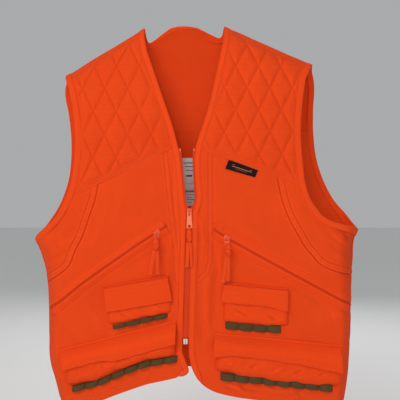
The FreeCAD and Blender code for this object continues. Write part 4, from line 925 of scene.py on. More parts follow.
# ============================================================ main zip
cdir = np.array([CHAIN_BOT[0] - CHAIN_TOP[0], CHAIN_BOT[1] - CHAIN_TOP[1]]); cdir /= np.linalg.norm(cdir)
cu = lambda v: CHAIN_TOP[0] + (CHAIN_BOT[0] - CHAIN_TOP[0]) * (v - CHAIN_TOP[1]) / (CHAIN_BOT[1] - CHAIN_TOP[1])
FLATP = lambda u, v, n: P(u, v, n, False, True)
for s, side in ((-1, "right"), (1, "left")):
    ed = EDGE_R if s < 0 else EDGE_L
    # coil: closed chain below the slider, half a chain up each open edge above it
    top = np.arange(150.5, 209.0, 1.45 / G); bot = np.arange(209.0, 339.0, 1.45 / G)
    vv = np.concatenate([top, bot]) + (0.35 if s > 0 else 0.0)
    uc = np.where(vv < 209.0, at_v(ed, vv) - s * 1.0, cu(vv) + s * 0.62)
    kb = np.clip((vv - 203) / 8.0, 0, 1); uc = (at_v(ed, vv) - s * 1.0) * (1 - kb) + (cu(vv) + s * 0.62) * kb
    nn = np.where(vv < 205, 1.6, 1.1)
    c = P(uc, vv, nn)
    al = np.gradient(c, axis=0); al /= np.linalg.norm(al, axis=1)[:, None]
    out = np.tile([0, -1.0, 0], (len(vv), 1))
    ac = np.cross(al, out); ac /= np.linalg.norm(ac, axis=1)[:, None]
    o = teeth("main_coil_" + side + "_turns", c, ac + al * 0.2 * s, al, out, M_COIL, ln=2.7, rad=0.58, hgt=0.85)
    put(o, "main_zip_coil_" + side, slot="zip_coil")
    # tape: runs under the facing and shows as a narrow edge
    rows_v = np.concatenate([np.linspace(151, 207, 30), np.linspace(209, 338, 54)])
    edge_u = np.where(rows_v < 209, at_v(ed, rows_v), cu(rows_v) + s * 2.6)
    f = np.linspace(0, 1, 6)
    inner = np.where(rows_v < 209, edge_u - s * 1.6, cu(rows_v) + s * 0.30)
    outer = edge_u + s * 4.5
    U = inner[:, None] + (outer - inner)[:, None] * f; Vv = np.repeat(rows_v[:, None], 6, 1)
    A = P(U, Vv, 0.75 + 0 * U); B = P(U, Vv, 0.15 + 0 * U)
    o = slab_obj("main_tape_" + side + "_woven", A, B, M_TAPE); put(o, "main_zip_tape_" + side, slot="zip_tape")

def solid(name, parts, mat, bevel=0.3, seg=3):
    "one object out of prisms: each part is (outline points in mm [(x, z)], y0, y1) with y outward from the front plane"
    import bmesh
    bm = bmesh.new()
    for pts, n0, n1 in parts:
        lo = [bm.verts.new((x * MM, -(HALF + n0) * MM, z * MM)) for x, z in pts]
        hi = [bm.verts.new((x * MM, -(HALF + n1) * MM, z * MM)) for x, z in pts]
        k = len(pts)
        fs = [bm.faces.new(lo), bm.faces.new(hi[::-1])]
        for i in range(k):
            fs.append(bm.faces.new((lo[i], hi[i], hi[(i + 1) % k], lo[(i + 1) % k])))
    bmesh.ops.recalc_face_normals(bm, faces=bm.faces)
    if bevel:
        bmesh.ops.bevel(bm, geom=list(bm.edges), offset=bevel * MM, segments=seg, profile=0.6, affect="EDGES", clamp_overlap=True)
    me = bpy.data.meshes.new(name); bm.to_mesh(me); bm.free()
    me.polygons.foreach_set("use_smooth", [True] * len(me.polygons))
    me.materials.append(mat)
    o = bpy.data.objects.new(name, me); SC.collection.objects.link(o)
    md = o.modifiers.new("shade", "WEIGHTED_NORMAL"); md.keep_sharp = False
    return o

def rrect(cx, cz, hw, z0, z1, r, ex=(1, 0), n=5, top=None):
    "rounded rectangle: z0 top, z1 bottom (both downwards from cz); ex is the cross direction"
    r = min(r, hw * 0.98, (z1 - z0) * 0.49)
    ex = np.array(ex, float); ex /= np.linalg.norm(ex); ez = np.array([-ex[1], ex[0]]); ez = ez if ez[1] < 0 else -ez
    out = []
    hwt = top or hw
    for (sx, zc, a0, w) in ((1, z0 + r, -90, hwt), (1, z1 - r, 0, hw), (-1, z1 - r, 90, hw), (-1, z0 + r, 180, hwt)):
        for k in range(n + 1):
            a = math.radians(a0 + 90 * k / n)
            x = sx * (w - r) + r * math.cos(a); z = zc + r * math.sin(a)
            p = np.array([cx, cz]) + ex * x + ez * z
            out.append((p[0], p[1]))
    return out

def make_slider(name, body, node, c, ex, bot, top, w, ln, post, taper=1.0):
    "c: (x, z) mm; ex: cross direction of the chain"
    a, b = bot; e, f = top; z, t, h = post
    parts = [(rrect(c[0], c[1], w * 0.97, -ln, ln, 1.8, ex, top=w), a, b), (rrect(c[0], c[1], w * 0.80, -ln, ln, 2.6, ex, top=w), e, f + 0.1)]
    parts.append((rrect(c[0], c[1], 0.45, -ln, ln * 0.2, 0.2, ex), b - 0.1, e + 0.1))
    fl = 0.9
    for sg in ((-1, 1) if w > 4.1 else ()):       # turned-down flanges along the top wing
        cx, cz = c[0] + ex[0] * sg * (w * 0.80), c[1] + ex[1] * sg * (w * 0.80)
        parts.append((rrect(cx, cz, 0.45, -ln * 0.55, ln * 0.8, 0.3, ex), e - fl, e + 0.3))
    o = solid(name, parts, M_SLIDER, 0.28)
    br = []
    K = 18
    import bmesh
    bm = bmesh.new()      # arched bridge
    ez = np.array([-ex[1], ex[0]]); ez = ez if ez[1] < 0 else -ez
    prof = [(zz, f + 2.75 * math.sqrt(max(1 - (zz / z) ** 4, 0)) + 0.05) for zz in np.linspace(-z, z, K)]
    inn = [(zz * (z - t) / z, f + (2.0) * math.sqrt(max(1 - (zz / z) ** 4, 0)) - 0.1) for zz in np.linspace(-z, z, K)]
    ring = prof + inn[::-1]
    vs = []
    for sx in (-h, -h * 0.75, h * 0.75, h):
        k = 0.12 if abs(sx) == h else 0
        row = []
        for i, (zz, nn) in enumerate(ring):
            nn2 = nn - (k if i < K else -k)
            p = np.array(c) + np.array(ex) * sx + ez * zz
            row.append(bm.verts.new((p[0] * MM, -(HALF + nn2) * MM, p[1] * MM)))
        vs.append(row)
    m = len(ring)
    for a_, b_ in zip(vs, vs[1:]):
        for i in range(m): bm.faces.new((a_[i], b_[i], b_[(i + 1) % m], a_[(i + 1) % m]))
    for row, rv in ((vs[0], False), (vs[-1], True)):
        for i in range(K - 1):
            q = (row[i], row[i + 1], row[m - 2 - i], row[m - 1 - i])
            bm.faces.new(q if rv else q[::-1])
    bmesh.ops.recalc_face_normals(bm, faces=bm.faces)
    me = bpy.data.meshes.new(name + "_bridge"); bm.to_mesh(me); bm.free()
    me.polygons.foreach_set("use_smooth", [True] * len(me.polygons)); me.materials.append(M_SLIDER)
    o2 = bpy.data.objects.new(name + "_bridge", me); SC.collection.objects.link(o2)
    put(o, node, body, "slider_paint"); put(o2, None, body, "slider_paint")

def lean_pts(Pm, piv, lean):
    "rotates points (metres) about the x axis through piv, outwards"
    a = math.radians(lean); Pm = np.asarray(Pm, float) - piv
    y = Pm[..., 1] * math.cos(a) + Pm[..., 2] * math.sin(a)
    z = -Pm[..., 1] * math.sin(a) + Pm[..., 2] * math.cos(a)
    return np.stack([Pm[..., 0], y, z], -1) + piv

def tab_obj(name, piv, drop, tw, slot, lean):
    "pull tab: a stirrup plate with a slot for the bridge and a slot for the ribbon"
    import bmesh
    N = 8
    def rr(x0, x1, z0, z1, r, n=N):
        out = []
        for cx, cz, a0 in ((x1 - r, z1 - r, 0), (x0 + r, z1 - r, 90), (x0 + r, z0 + r, 180), (x1 - r, z0 + r, 270)):
            for k in range(n + 1):
                a = math.radians(a0 + 90 * k / n); out.append((cx + r * math.cos(a), cz + r * math.sin(a)))
        return out
    cu_ = bpy.data.curves.new(name, "CURVE"); cu_.dimensions = "2D"; cu_.fill_mode = "BOTH"
    cu_.extrude = 0.42 * MM; cu_.bevel_depth = 0.16 * MM; cu_.bevel_resolution = 2
    loops = [rr(-tw, tw, -drop, 0.65, 1.7), rr(-slot, slot, -6.0, -0.55, 0.5), rr(-min(slot, 2.6), min(slot, 2.6), -drop + 1.3, -drop + 3.7, 0.8)]
    if slot < 2:
        loops[1] = rr(-1.9, 1.9, -6.2, -0.55, 1.2); loops[2] = rr(-2.9, 2.9, -drop + 1.6, -drop + 5.4, 1.6)
        loops[0] = [(x * (0.78 + 0.34 * min(max(-z / drop, 0), 1)), z) for x, z in loops[0]]
    for lp in loops:
        sp = cu_.splines.new("POLY"); sp.points.add(len(lp) - 1); sp.use_cyclic_u = True
        for p, (x, z) in zip(sp.points, lp): p.co = (x * MM, z * MM, 0, 1)
    tmp = bpy.data.objects.new(name + "_c", cu_)
    me = bpy.data.meshes.new_from_object(tmp); me.name = name
    bpy.data.objects.remove(tmp)
    co = np.empty(len(me.vertices) * 3); me.vertices.foreach_get("co", co); co = co.reshape(-1, 3)
    # the flat outline stood upright at the pivot, its thickness towards the viewer, then leaned outwards
    x, z, y = co[:, 0], co[:, 1], co[:, 2]
    w = np.stack([x, -y + 0 * x, z], -1) + piv
    w = lean_pts(w, piv, lean)
    me.vertices.foreach_set("co", w.ravel()); me.update()
    bm = bmesh.new(); bm.from_mesh(me); bmesh.ops.recalc_face_normals(bm, faces=bm.faces); bm.to_mesh(me); bm.free()
    me.materials.clear(); me.materials.append(M_TAB if slot < 2 else M_TAB2)
    for p in me.polygons: p.use_smooth = True
    o = bpy.data.objects.new(name, me); SC.collection.objects.link(o)
    md = o.modifiers.new("s", "WEIGHTED_NORMAL")
    return o

def ribbon_mesh(name, line, widths, thick, across, mat, wob=0.0, seed=0):
    "flat ribbon along 3-D points; across is the width direction (one or per point)"
    p = np.asarray(line, float); n = len(p)
    t = np.gradient(p, axis=0); t /= np.linalg.norm(t, axis=1)[:, None]
    ac = np.broadcast_to(np.asarray(across, float), p.shape)
    ac = ac - (ac * t).sum(1)[:, None] * t; ac = ac / np.linalg.norm(ac, axis=1)[:, None]
    nn = np.cross(t, ac)
    K = 9
    s = np.linspace(-1, 1, K)
    W = np.broadcast_to(np.asarray(widths, float), (n,))[:, None] * 0.5
    bow = 0.10 * W * (1 - s ** 2)
    e = np.sqrt(np.clip(1 - np.abs(s) ** 6, 0, 1)) * 0.8 + 0.2
    A = p[:, None] + ac[:, None] * (W * s)[..., None] * MM + nn[:, None] * ((bow + thick / 2 * e) * MM)[..., None]
    B = p[:, None] + ac[:, None] * (W * s)[..., None] * MM + nn[:, None] * ((bow - thick / 2 * e) * MM)[..., None]
    return slab_obj(name, A, B, mat)

def knot_obj(name, c, w, h, dpt, mat, seed):
    "overhand knot in flat ribbon: one rounded body with the creases between its wraps"
    K, M = 64, 52
    t = np.linspace(0.0, 1.0, M)[:, None]; a = np.linspace(0, 2 * math.pi, K, endpoint=False)[None, :]
    env = np.clip(1 - np.abs(2 * t - 1) ** 3.2, 0, 1) ** 0.5
    env = env * (1.0 - 0.16 * np.clip((t - 0.55) / 0.45, 0, 1) - 0.14 * np.clip((0.25 - t) / 0.25, 0, 1))
    ph = t * 2.35 + 0.20 * np.cos(a + 0.5 + seed) + 0.05 * np.sin(3 * a + seed)
    fr = ph - np.floor(ph)
    wrap = 1 - 0.20 * np.exp(-(np.minimum(fr, 1 - fr) / 0.085) ** 2) + 0.05 * np.sin(math.pi * fr)
    rad = np.maximum(env, 0.05) * wrap
    sq = lambda x: np.sign(x) * np.abs(x) ** 0.8
    x = rad * sq(np.cos(a)) * w / 2 + 0.45 * np.sin(t * 5.0 + seed)
    y = rad * sq(np.sin(a)) * dpt / 2
    z = (0.5 - t) * h + 0.0 * a
    V_ = np.stack([x, y, z], -1).reshape(-1, 3) * MM + np.asarray(c)
    Fs = [(i * K + g, i * K + (g + 1) % K, (i + 1) * K + (g + 1) % K, (i + 1) * K + g) for i in range(M - 1) for g in range(K)]
    Fs += [tuple(range(K - 1, -1, -1)), tuple((M - 1) * K + g for g in range(K))]
    o = new_obj(name, V_, Fs, mat)
    import bmesh
    bm = bmesh.new(); bm.from_mesh(o.data); bmesh.ops.recalc_face_normals(bm, faces=bm.faces); bm.to_mesh(o.data); bm.free()
    for pl in o.data.polygons: pl.use_smooth = True
    return o

def nurbs_line(pts):
    "the line a clamped cubic-free spline takes through four control points, finely sampled"
    p = np.array(pts, float); out = []
    c = bpy.data.curves.new("line", "CURVE"); c.dimensions = "3D"
    s = c.splines.new("NURBS"); s.points.add(len(pts) - 1)
    for q, x in zip(s.points, pts): q.co = (*x, 1)
    s.order_u = 3; s.use_endpoint_u = True; c.resolution_u = 16
    o = bpy.data.objects.new("line", c)
    me = bpy.data.meshes.new_from_object(o)
    out = np.array([tuple(v.co) for v in me.vertices])
    bpy.data.objects.remove(o); bpy.data.meshes.remove(me); bpy.data.curves.remove(c)
    return out

def zip_pull(prefix, body, piv, drop, kn, tails, lean, tw, slot, seed):
    piv = np.array(piv) * MM
    t = tab_obj(prefix + "_tab_plate", piv, drop, tw, slot, lean); put(t, prefix + "_tab", body, "tab_paint")
    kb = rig.box(prefix + "_knot")
    lo, hi = np.array(kb[0]), np.array(kb[1])
    c = (lo + hi) / 2; size = (hi - lo) / MM
    k = knot_obj(prefix + "_knot_ribbon", c, size[0], size[2], size[1], M_RIBBON, seed); put(k, prefix + "_knot", body, "binding_cloth")
    # the ribbon's loop through the tab's slot
    s0 = lean_pts(np.array([piv + np.array([0, -0.9, -drop + 2.2]) * MM, piv + np.array([0, -1.4, -drop + 0.2]) * MM]), piv, lean)
    l1 = np.array([lean_pts(piv + np.array([0, 0.9, -drop + 0.9]) * MM, piv, lean), lean_pts(piv + np.array([0, 0.0, -drop + 3.1]) * MM, piv, lean), s0[0], s0[1] , [c[0], min(s0[1][1], c[1] - 0.0002), hi[2] - 0.0015]])
    tt = np.linspace(0, 1, len(l1)); q = np.stack([np.interp(np.linspace(0, 1, 24), tt, l1[:, j]) for j in range(3)], 1)
    for _ in range(5): q[1:-1] = .25 * q[:-2] + .5 * q[1:-1] + .25 * q[2:]
    lp = ribbon_mesh(prefix + "_ribbon_loop", q, min(2 * slot - 0.6, 4.2), 0.7, (1, 0, 0), M_RIBBON); put(lp, None, body, "binding_cloth")
    yc = c[1]; kz = lo[2]
    for sfx, (x0, dx, ln, w) in tails.items():
        x = piv[0]
        pts = [(x + x0 * MM, yc, kz), (x + (x0 + .35 * dx) * MM, yc, kz - ln / 3 * MM), (x + (x0 + .5 * dx) * MM, yc, kz - 2 * ln / 3 * MM), (x + (x0 + dx) * MM, yc, kz - ln * MM)]
        line = nurbs_line(pts)
        f = np.linspace(0, 1, len(line))
        wid = w * (0.82 + 0.18 * np.clip(f * 5, 0, 1))
        tw_ = 0.35 * np.sin(f * 4.0 + seed)
        ac = np.stack([np.cos(tw_), np.sin(tw_) * 0.6, 0 * f], 1)
        o = ribbon_mesh(prefix + "_" + sfx + "_ribbon", line, wid, 0.75, ac, M_RIBBON)
        put(o, prefix + "_" + sfx, body, "binding_cloth")
        L = float(np.linalg.norm(np.diff(line, axis=0), axis=1).sum())
        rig.cord(o, exit=tuple(line[0]), length=L, diameter=w * MM, far_end="bare", stiffness="limp", lay="hanging", path=[tuple(p) for p in resample(line, 0.001)])
        # cut end: a short paler band
        p = line[-6:]; e = ribbon_mesh(prefix + "_" + sfx + "_cut_end", line[-2:], wid[-2:] * 1.01, 0.85, ac[-2:], M_PALE); put(e, None, body, "binding_cloth")

M_PALE = fabric("ribbon_cut_end", (0.93, 0.16, 0.06), (0.86, 0.13, 0.05), twill=0.5, rot=(0, 0, 0), sheen=0.1)
XM = lambda u: (u - 188.0) * G
ZM = lambda v: -(v - 24.0) * G
msx = np.array([-cdir[1], cdir[0]]); msx = msx if msx[0] > 0 else -msx
ex_main = (msx[0], -msx[1])
ms_c = (XM(cu(212.3)), ZM(212.3))
make_slider("main_slider_body", "main_slider", "main_slider", ms_c, ex_main, (-2.7, -1.6), (2.1, 3.3), 4.4, 6.6, (4.2, 1.0, 1.0))
zip_pull("main_pull", "main_pull", (2.365, -44.3, -320.11), 27.0, None, {"tail_long": (-2.4, -1.6, 41.0, 6.8), "tail_short": (2.2, 1.6, 40.0, 5.0)}, 0.0, 4.4, 1.5, 3)
PR = ((163.0, 228.0), (62.5, 297.4)); PL = ((217.0, 232.3), (339.5, 299.6))
for side, (pa, pb), cs, piv, drop, tails, sd in (("right", PR, 13.0, (-53.197, -47.2, -354.187), 10.0, {"tail_a": (-3.0, -7.0, 39.0, 6.5), "tail_b": (2.0, 0.8, 38.5, 6.0)}, 5),
                                                 ("left", PL, 19.0, (65.952, -47.2, -363.259), 13.0, {"tail_a": (-1.0, -6.0, 42.0, 6.5), "tail_b": (2.8, -2.0, 40.0, 6.0)}, 8)):
    e = np.array([XM(pb[0]) - XM(pa[0]), ZM(pb[1]) - ZM(pa[1])]); e /= np.linalg.norm(e)
    c = np.array([XM(pa[0]), ZM(pa[1])]) + e * cs
    k = np.array([-e[1], e[0]]); k = k if k[1] > 0 else -k
    ex = k if k[0] > 0 else -k
    make_slider(side + "_pocket_slider_body", side + "_pocket_slider", side + "_pocket_slider", c, tuple(ex), (1.5, 2.6), (5.2, 6.2), 4.0, 5.6, (2.9, 0.8, 0.7))
    zip_pull(side + "_pull", side + "_pocket_pull", piv, drop, None, tails, 24.0, 3.9, 2.95, sd)

# zip ends: box and pin in metal, top stops in the coil's nylon
def mprism(name, quad, n0, n1, node=None, mat=None, slot="zip_metal", bev=0.25):
    pts = [(XM(a), ZM(b)) for a, b in quad]
    o = solid(name, [(pts, n0, n1)], mat or M_METAL, bev); put(o, node, slot=slot); return o
bc = cu(341.2)
mprism("retainer_box", [(bc - 2.1, 338.6), (bc + 0.1, 338.6), (bc + 0.1, 344.0), (bc - 2.1, 344.0)], -0.6, 2.7, "zip_retainer_box")
mprism("insertion_pin", [(bc + 0.35, 338.6), (bc + 2.1, 338.6), (bc + 2.1, 344.0), (bc + 0.35, 344.0)], -0.4, 2.5, "zip_insertion_pin")
for i, (s, ed) in enumerate(((-1, EDGE_R), (1, EDGE_L))):
    a, b = float(at_v(ed, 149.0)), float(at_v(ed, 151.4))
    mprism("top_stop_%d" % i, [(a - s * 0.4, 148.4), (a - s * 1.9, 148.4), (b - s * 1.9, 151.4), (b - s * 0.4, 151.4)], 0.4, 2.7, "zip_stops" if i == 0 else None, M_COIL, "zip_coil")

# ============================================================ bellows pockets
def lerp(p, q, f): return (p[0] + (q[0] - p[0]) * f, p[1] + (q[1] - p[1]) * f)
def quad_grid(tl, tr, br, bl, ni, nj, fi=None, fj=None):
    fi = np.linspace(0, 1, ni) if fi is None else fi; fj = np.linspace(0, 1, nj) if fj is None else fj
    tl, tr, br, bl = map(np.array, (tl, tr, br, bl))
    I, J = fi[:, None, None], fj[None, :, None]
    return (tl * (1 - I) * (1 - J) + tr * (1 - I) * J + br * I * J + bl * I * (1 - J))
def edge_fr(n, w, r):
    e = np.array([0, 0.02, 0.1, 0.25, 0.5, 0.8, 1.0]) * r / w
    return np.concatenate([e, np.linspace(r / w, 1 - r / w, n)[1:-1], 1 - e[::-1]])

def grid_crease(n, step):
    """painted shade on an even grid: height over the mean of the points about 3 mm around; the material darkens low
    points and lightens high ones
    """
    m = n.copy(); k = 2
    p = np.pad(n, k, mode="edge"); R, C = n.shape
    m = 0.25 * (p[2 * k:, k:-k] + p[:-2 * k, k:-k] + p[k:-k, 2 * k:] + p[k:-k, :-2 * k])
    c = np.clip((n - m) / 0.7, -1.3, 0.9)
    c[:7] = 0; c[-7:] *= 0.0; c[:, :7] = 0; c[:, -7:] = 0
    return c

LOW = {"right_large_flap": [(64.7, 368.0), (74, 365.8), (83, 363.2), (92, 360.9), (102.4, 358.8), (106, 358.5), (112.5, 359.2), (122, 357.4), (133, 354.2), (147.7, 349.7), (160, 346.4), (175.6, 342.3)],
       "left_small_flap": [(220.4, 301.4), (233, 302.4), (247.4, 303.8), (260, 304.8), (269.2, 306.2), (279.5, 309.4), (287.4, 310.9)],
       "left_large_flap": [(212.7, 354.9), (224, 354.0), (236, 354.2), (247, 355.2), (259, 356.6), (281.8, 359.6), (297, 362.2), (310.5, 364.8), (327.8, 368.8), (341.4, 371.9)],
       "right_large_pocket": [(67, 382.6), (72, 383.0), (80, 382.4), (90, 380.9), (98, 378.6), (111, 372.7), (126.5, 366.2), (139, 361.8), (159, 357.0), (175.6, 354.2)],
       "left_small_pocket": [(223.7, 320.6), (238, 322.6), (254.0, 324.2), (270, 325.0), (287.9, 325.4)],
       "left_large_pocket": [(215.5, 369.0), (225, 371.4), (236.0, 373.8), (253, 376.8), (270.4, 379.4), (287, 381.4), (304.8, 383.0), (318, 384.2), (327.8, 384.6), (335, 384.0), (341.0, 382.6)]}
def bend_low(node, U, Vv, I, J, bl, br, p):
    "moves the rows so that the lowest one follows the drawn edge"
    if node not in LOW: return Vv
    base = bl[1] + (br[1] - bl[1]) * J; ub = bl[0] + (br[0] - bl[0]) * J
    return Vv + (np.interp(ub, [q[0] for q in LOW[node]], [q[1] for q in LOW[node]]) - base) * I ** p

def pocket(name, node, tl, tr, br, bl, F, seed, wr=0.8, creases=(), hw=1.0):
    "pouch standing off the front: a rounded front leaf whose edges turn back to the cloth, open along its top"
    W = math.hypot(tr[0] - tl[0], tr[1] - tl[1]) * G; H = math.hypot(bl[0] - tl[0], bl[1] - tl[1]) * G
    r = F * 0.85
    fj = edge_fr(int(W / 2.2), W, r)
    eb = np.array([0, 0.02, 0.1, 0.25, 0.5, 0.8, 1.0]) * r / H
    fi = np.concatenate([np.linspace(0, 1 - r / H, int(H / 2.2))[:-1], 1 - eb[::-1]])
    g = quad_grid(tl, tr, br, bl, 0, 0, fi, fj)
    I, J = np.meshgrid(fi, fj, indexing="ij")
    dj = np.minimum(J, 1 - J) * W; db = (1 - I) * H
    a = np.clip(1 - dj / r, 0, 1); b = np.clip(1 - db / r, 0, 1)
    k = np.sqrt(np.clip(1 - a ** 2.2, 0, 1)) * np.sqrt(np.clip(1 - b ** 2.2, 0, 1))
    rng = np.random.default_rng(seed)
    U, Vv = g[..., 0], bend_low(node, g[..., 0], g[..., 1], I, J, bl, br, 1.3)
    n = 2.2 + (F - 2.6 - 1.2) * k
    x, z = J * W, I * H
    wv = 0
    for _ in range(9):
        an = rng.uniform(0, math.pi); lam = rng.uniform(12, 46)
        wv = wv + 0.011 * lam * rng.uniform(.4, 1) * np.sin(2 * math.pi * (x * math.cos(an) + z * math.sin(an)) / lam + rng.uniform(0, 6.28))
    n = n + wr * wv * np.clip(k * 1.3, 0, 1)
    for (u1, v1), (u2, v2), wd, h in creases:
        d, al = dist(U, Vv, [(u1, v1), (u2, v2)])
        n = n + h * np.exp(-(d / wd) ** 2) * np.sin(math.pi * np.clip(al, 0.03, 0.97)) ** 0.5 * k
    # bottom edge wavers a little
    Vv = Vv + (0.8 * np.sin(x / 9.0 + seed) + 0.5 * np.sin(x / 4.3 + 2 * seed)) * np.clip(1 - db / 12.0, 0, 1) * hw / G
    th = 0.9
    n = np.clip(n, 1.9, F + 0.8)
    # painted shade from the pocket's relief: darker in its folds, lighter on its bulges
    cr_ = grid_crease(n, 2.2)
    A = FLATP(U, Vv, n); 
    nx = np.cross(np.gradient(A, axis=1), np.gradient(A, axis=0)); nx /= np.maximum(np.linalg.norm(nx, axis=-1, keepdims=True), 1e-12)
    if nx[len(fi) // 2, len(fj) // 2, 1] > 0: nx = -nx
    B = A - nx * th * MM
    B[..., 1] = np.minimum(B[..., 1], -(HALF + 1.25) * MM)
    o = slab_obj(name, A, B, M_POCKET, cr_); put(o, node)
    ar = area_of(A)
    w_, l_ = W * MM + 1.4 * F * MM, H * MM + 0.8 * F * MM
    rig.sheet(o, flat=(w_, l_), held="hung", area=min(max(ar, 0.31 * w_ * l_), 0.999 * w_ * l_))
    j0 = 8; st = A[:, j0][: -7]; 
    stitch("pocket_stitching", A[:-7, 7], (0, -1, 0)); stitch("pocket_stitching", A[:-7, -8], (0, -1, 0))
    return A

def flap(name, node, tl, tr, br, bl, n_of, body, seed, wave=1.0, band=True, rows_=None):
    "flap with a wavering lower edge; n_of(share down, mm down) is its outer face"
    W = math.hypot(tr[0] - tl[0], tr[1] - tl[1]) * G; H = math.hypot(bl[0] - tl[0], bl[1] - tl[1]) * G
    fj = fracs(int(W / 1.9), W, 0.8); fi = fracs(int(H / 1.5), H, 0.8)
    g = quad_grid(tl, tr, br, bl, 0, 0, fi, fj)
    I, J = np.meshgrid(fi, fj, indexing="ij"); x, z = J * W, I * H
    U, Vv = g[..., 0], bend_low(node, g[..., 0], g[..., 1], I, J, bl, br, 1.2)
    rng = np.random.default_rng(seed)
    wob = 0
    for _ in range(4):
        lam = rng.uniform(14, 60); wob = wob + rng.uniform(.3, 1) * lam / 60 * np.sin(2 * math.pi * x / lam + rng.uniform(0, 6.28))
    Vv = Vv + wave * 0.9 * wob * I ** 2.0 / G
    n = n_of(I, z) + 0.5 * np.sin(wob * 0.9 + x / 21.0) * I ** 1.3
    for d0 in (2.4, 7.2, H - 2.4):
        n = n - (0.5 if H > 12 else 0.2) * np.exp(-((z - d0) / 0.8) ** 2)
    for d0 in (2.4, W - 2.4):
        n = n - 0.4 * np.exp(-((x - d0) / 0.8) ** 2) * np.clip(I * 4, 0, 1)
    th = 1.9
    e = np.sqrt(np.clip(1 - (1 - np.clip(np.minimum(np.minimum(x, W - x), np.minimum(z, H - z)) / 0.9, 0, 1)) ** 2, 0, 1))
    e = np.maximum(e, 0.08)
    A = FLATP(U, Vv, n - th / 2 + th / 2 * e); B = FLATP(U, Vv, n - th / 2 - th / 2 * e)
    # painted shade from the flap's relief, at 0.7 strength
    o = slab_obj(name, A, B, M_POCKET, 0.7 * grid_crease(n, 1.6))
    return o, A, (W, H)

def stitch_grid(group, A, rows_=(), cols_=(), **kw):
    for r in rows_: stitch(group, A[r, 3:-3], (0, -1, 0), **kw)
    for c in cols_: stitch(group, A[3:-3, c], (0, -1, 0), **kw)

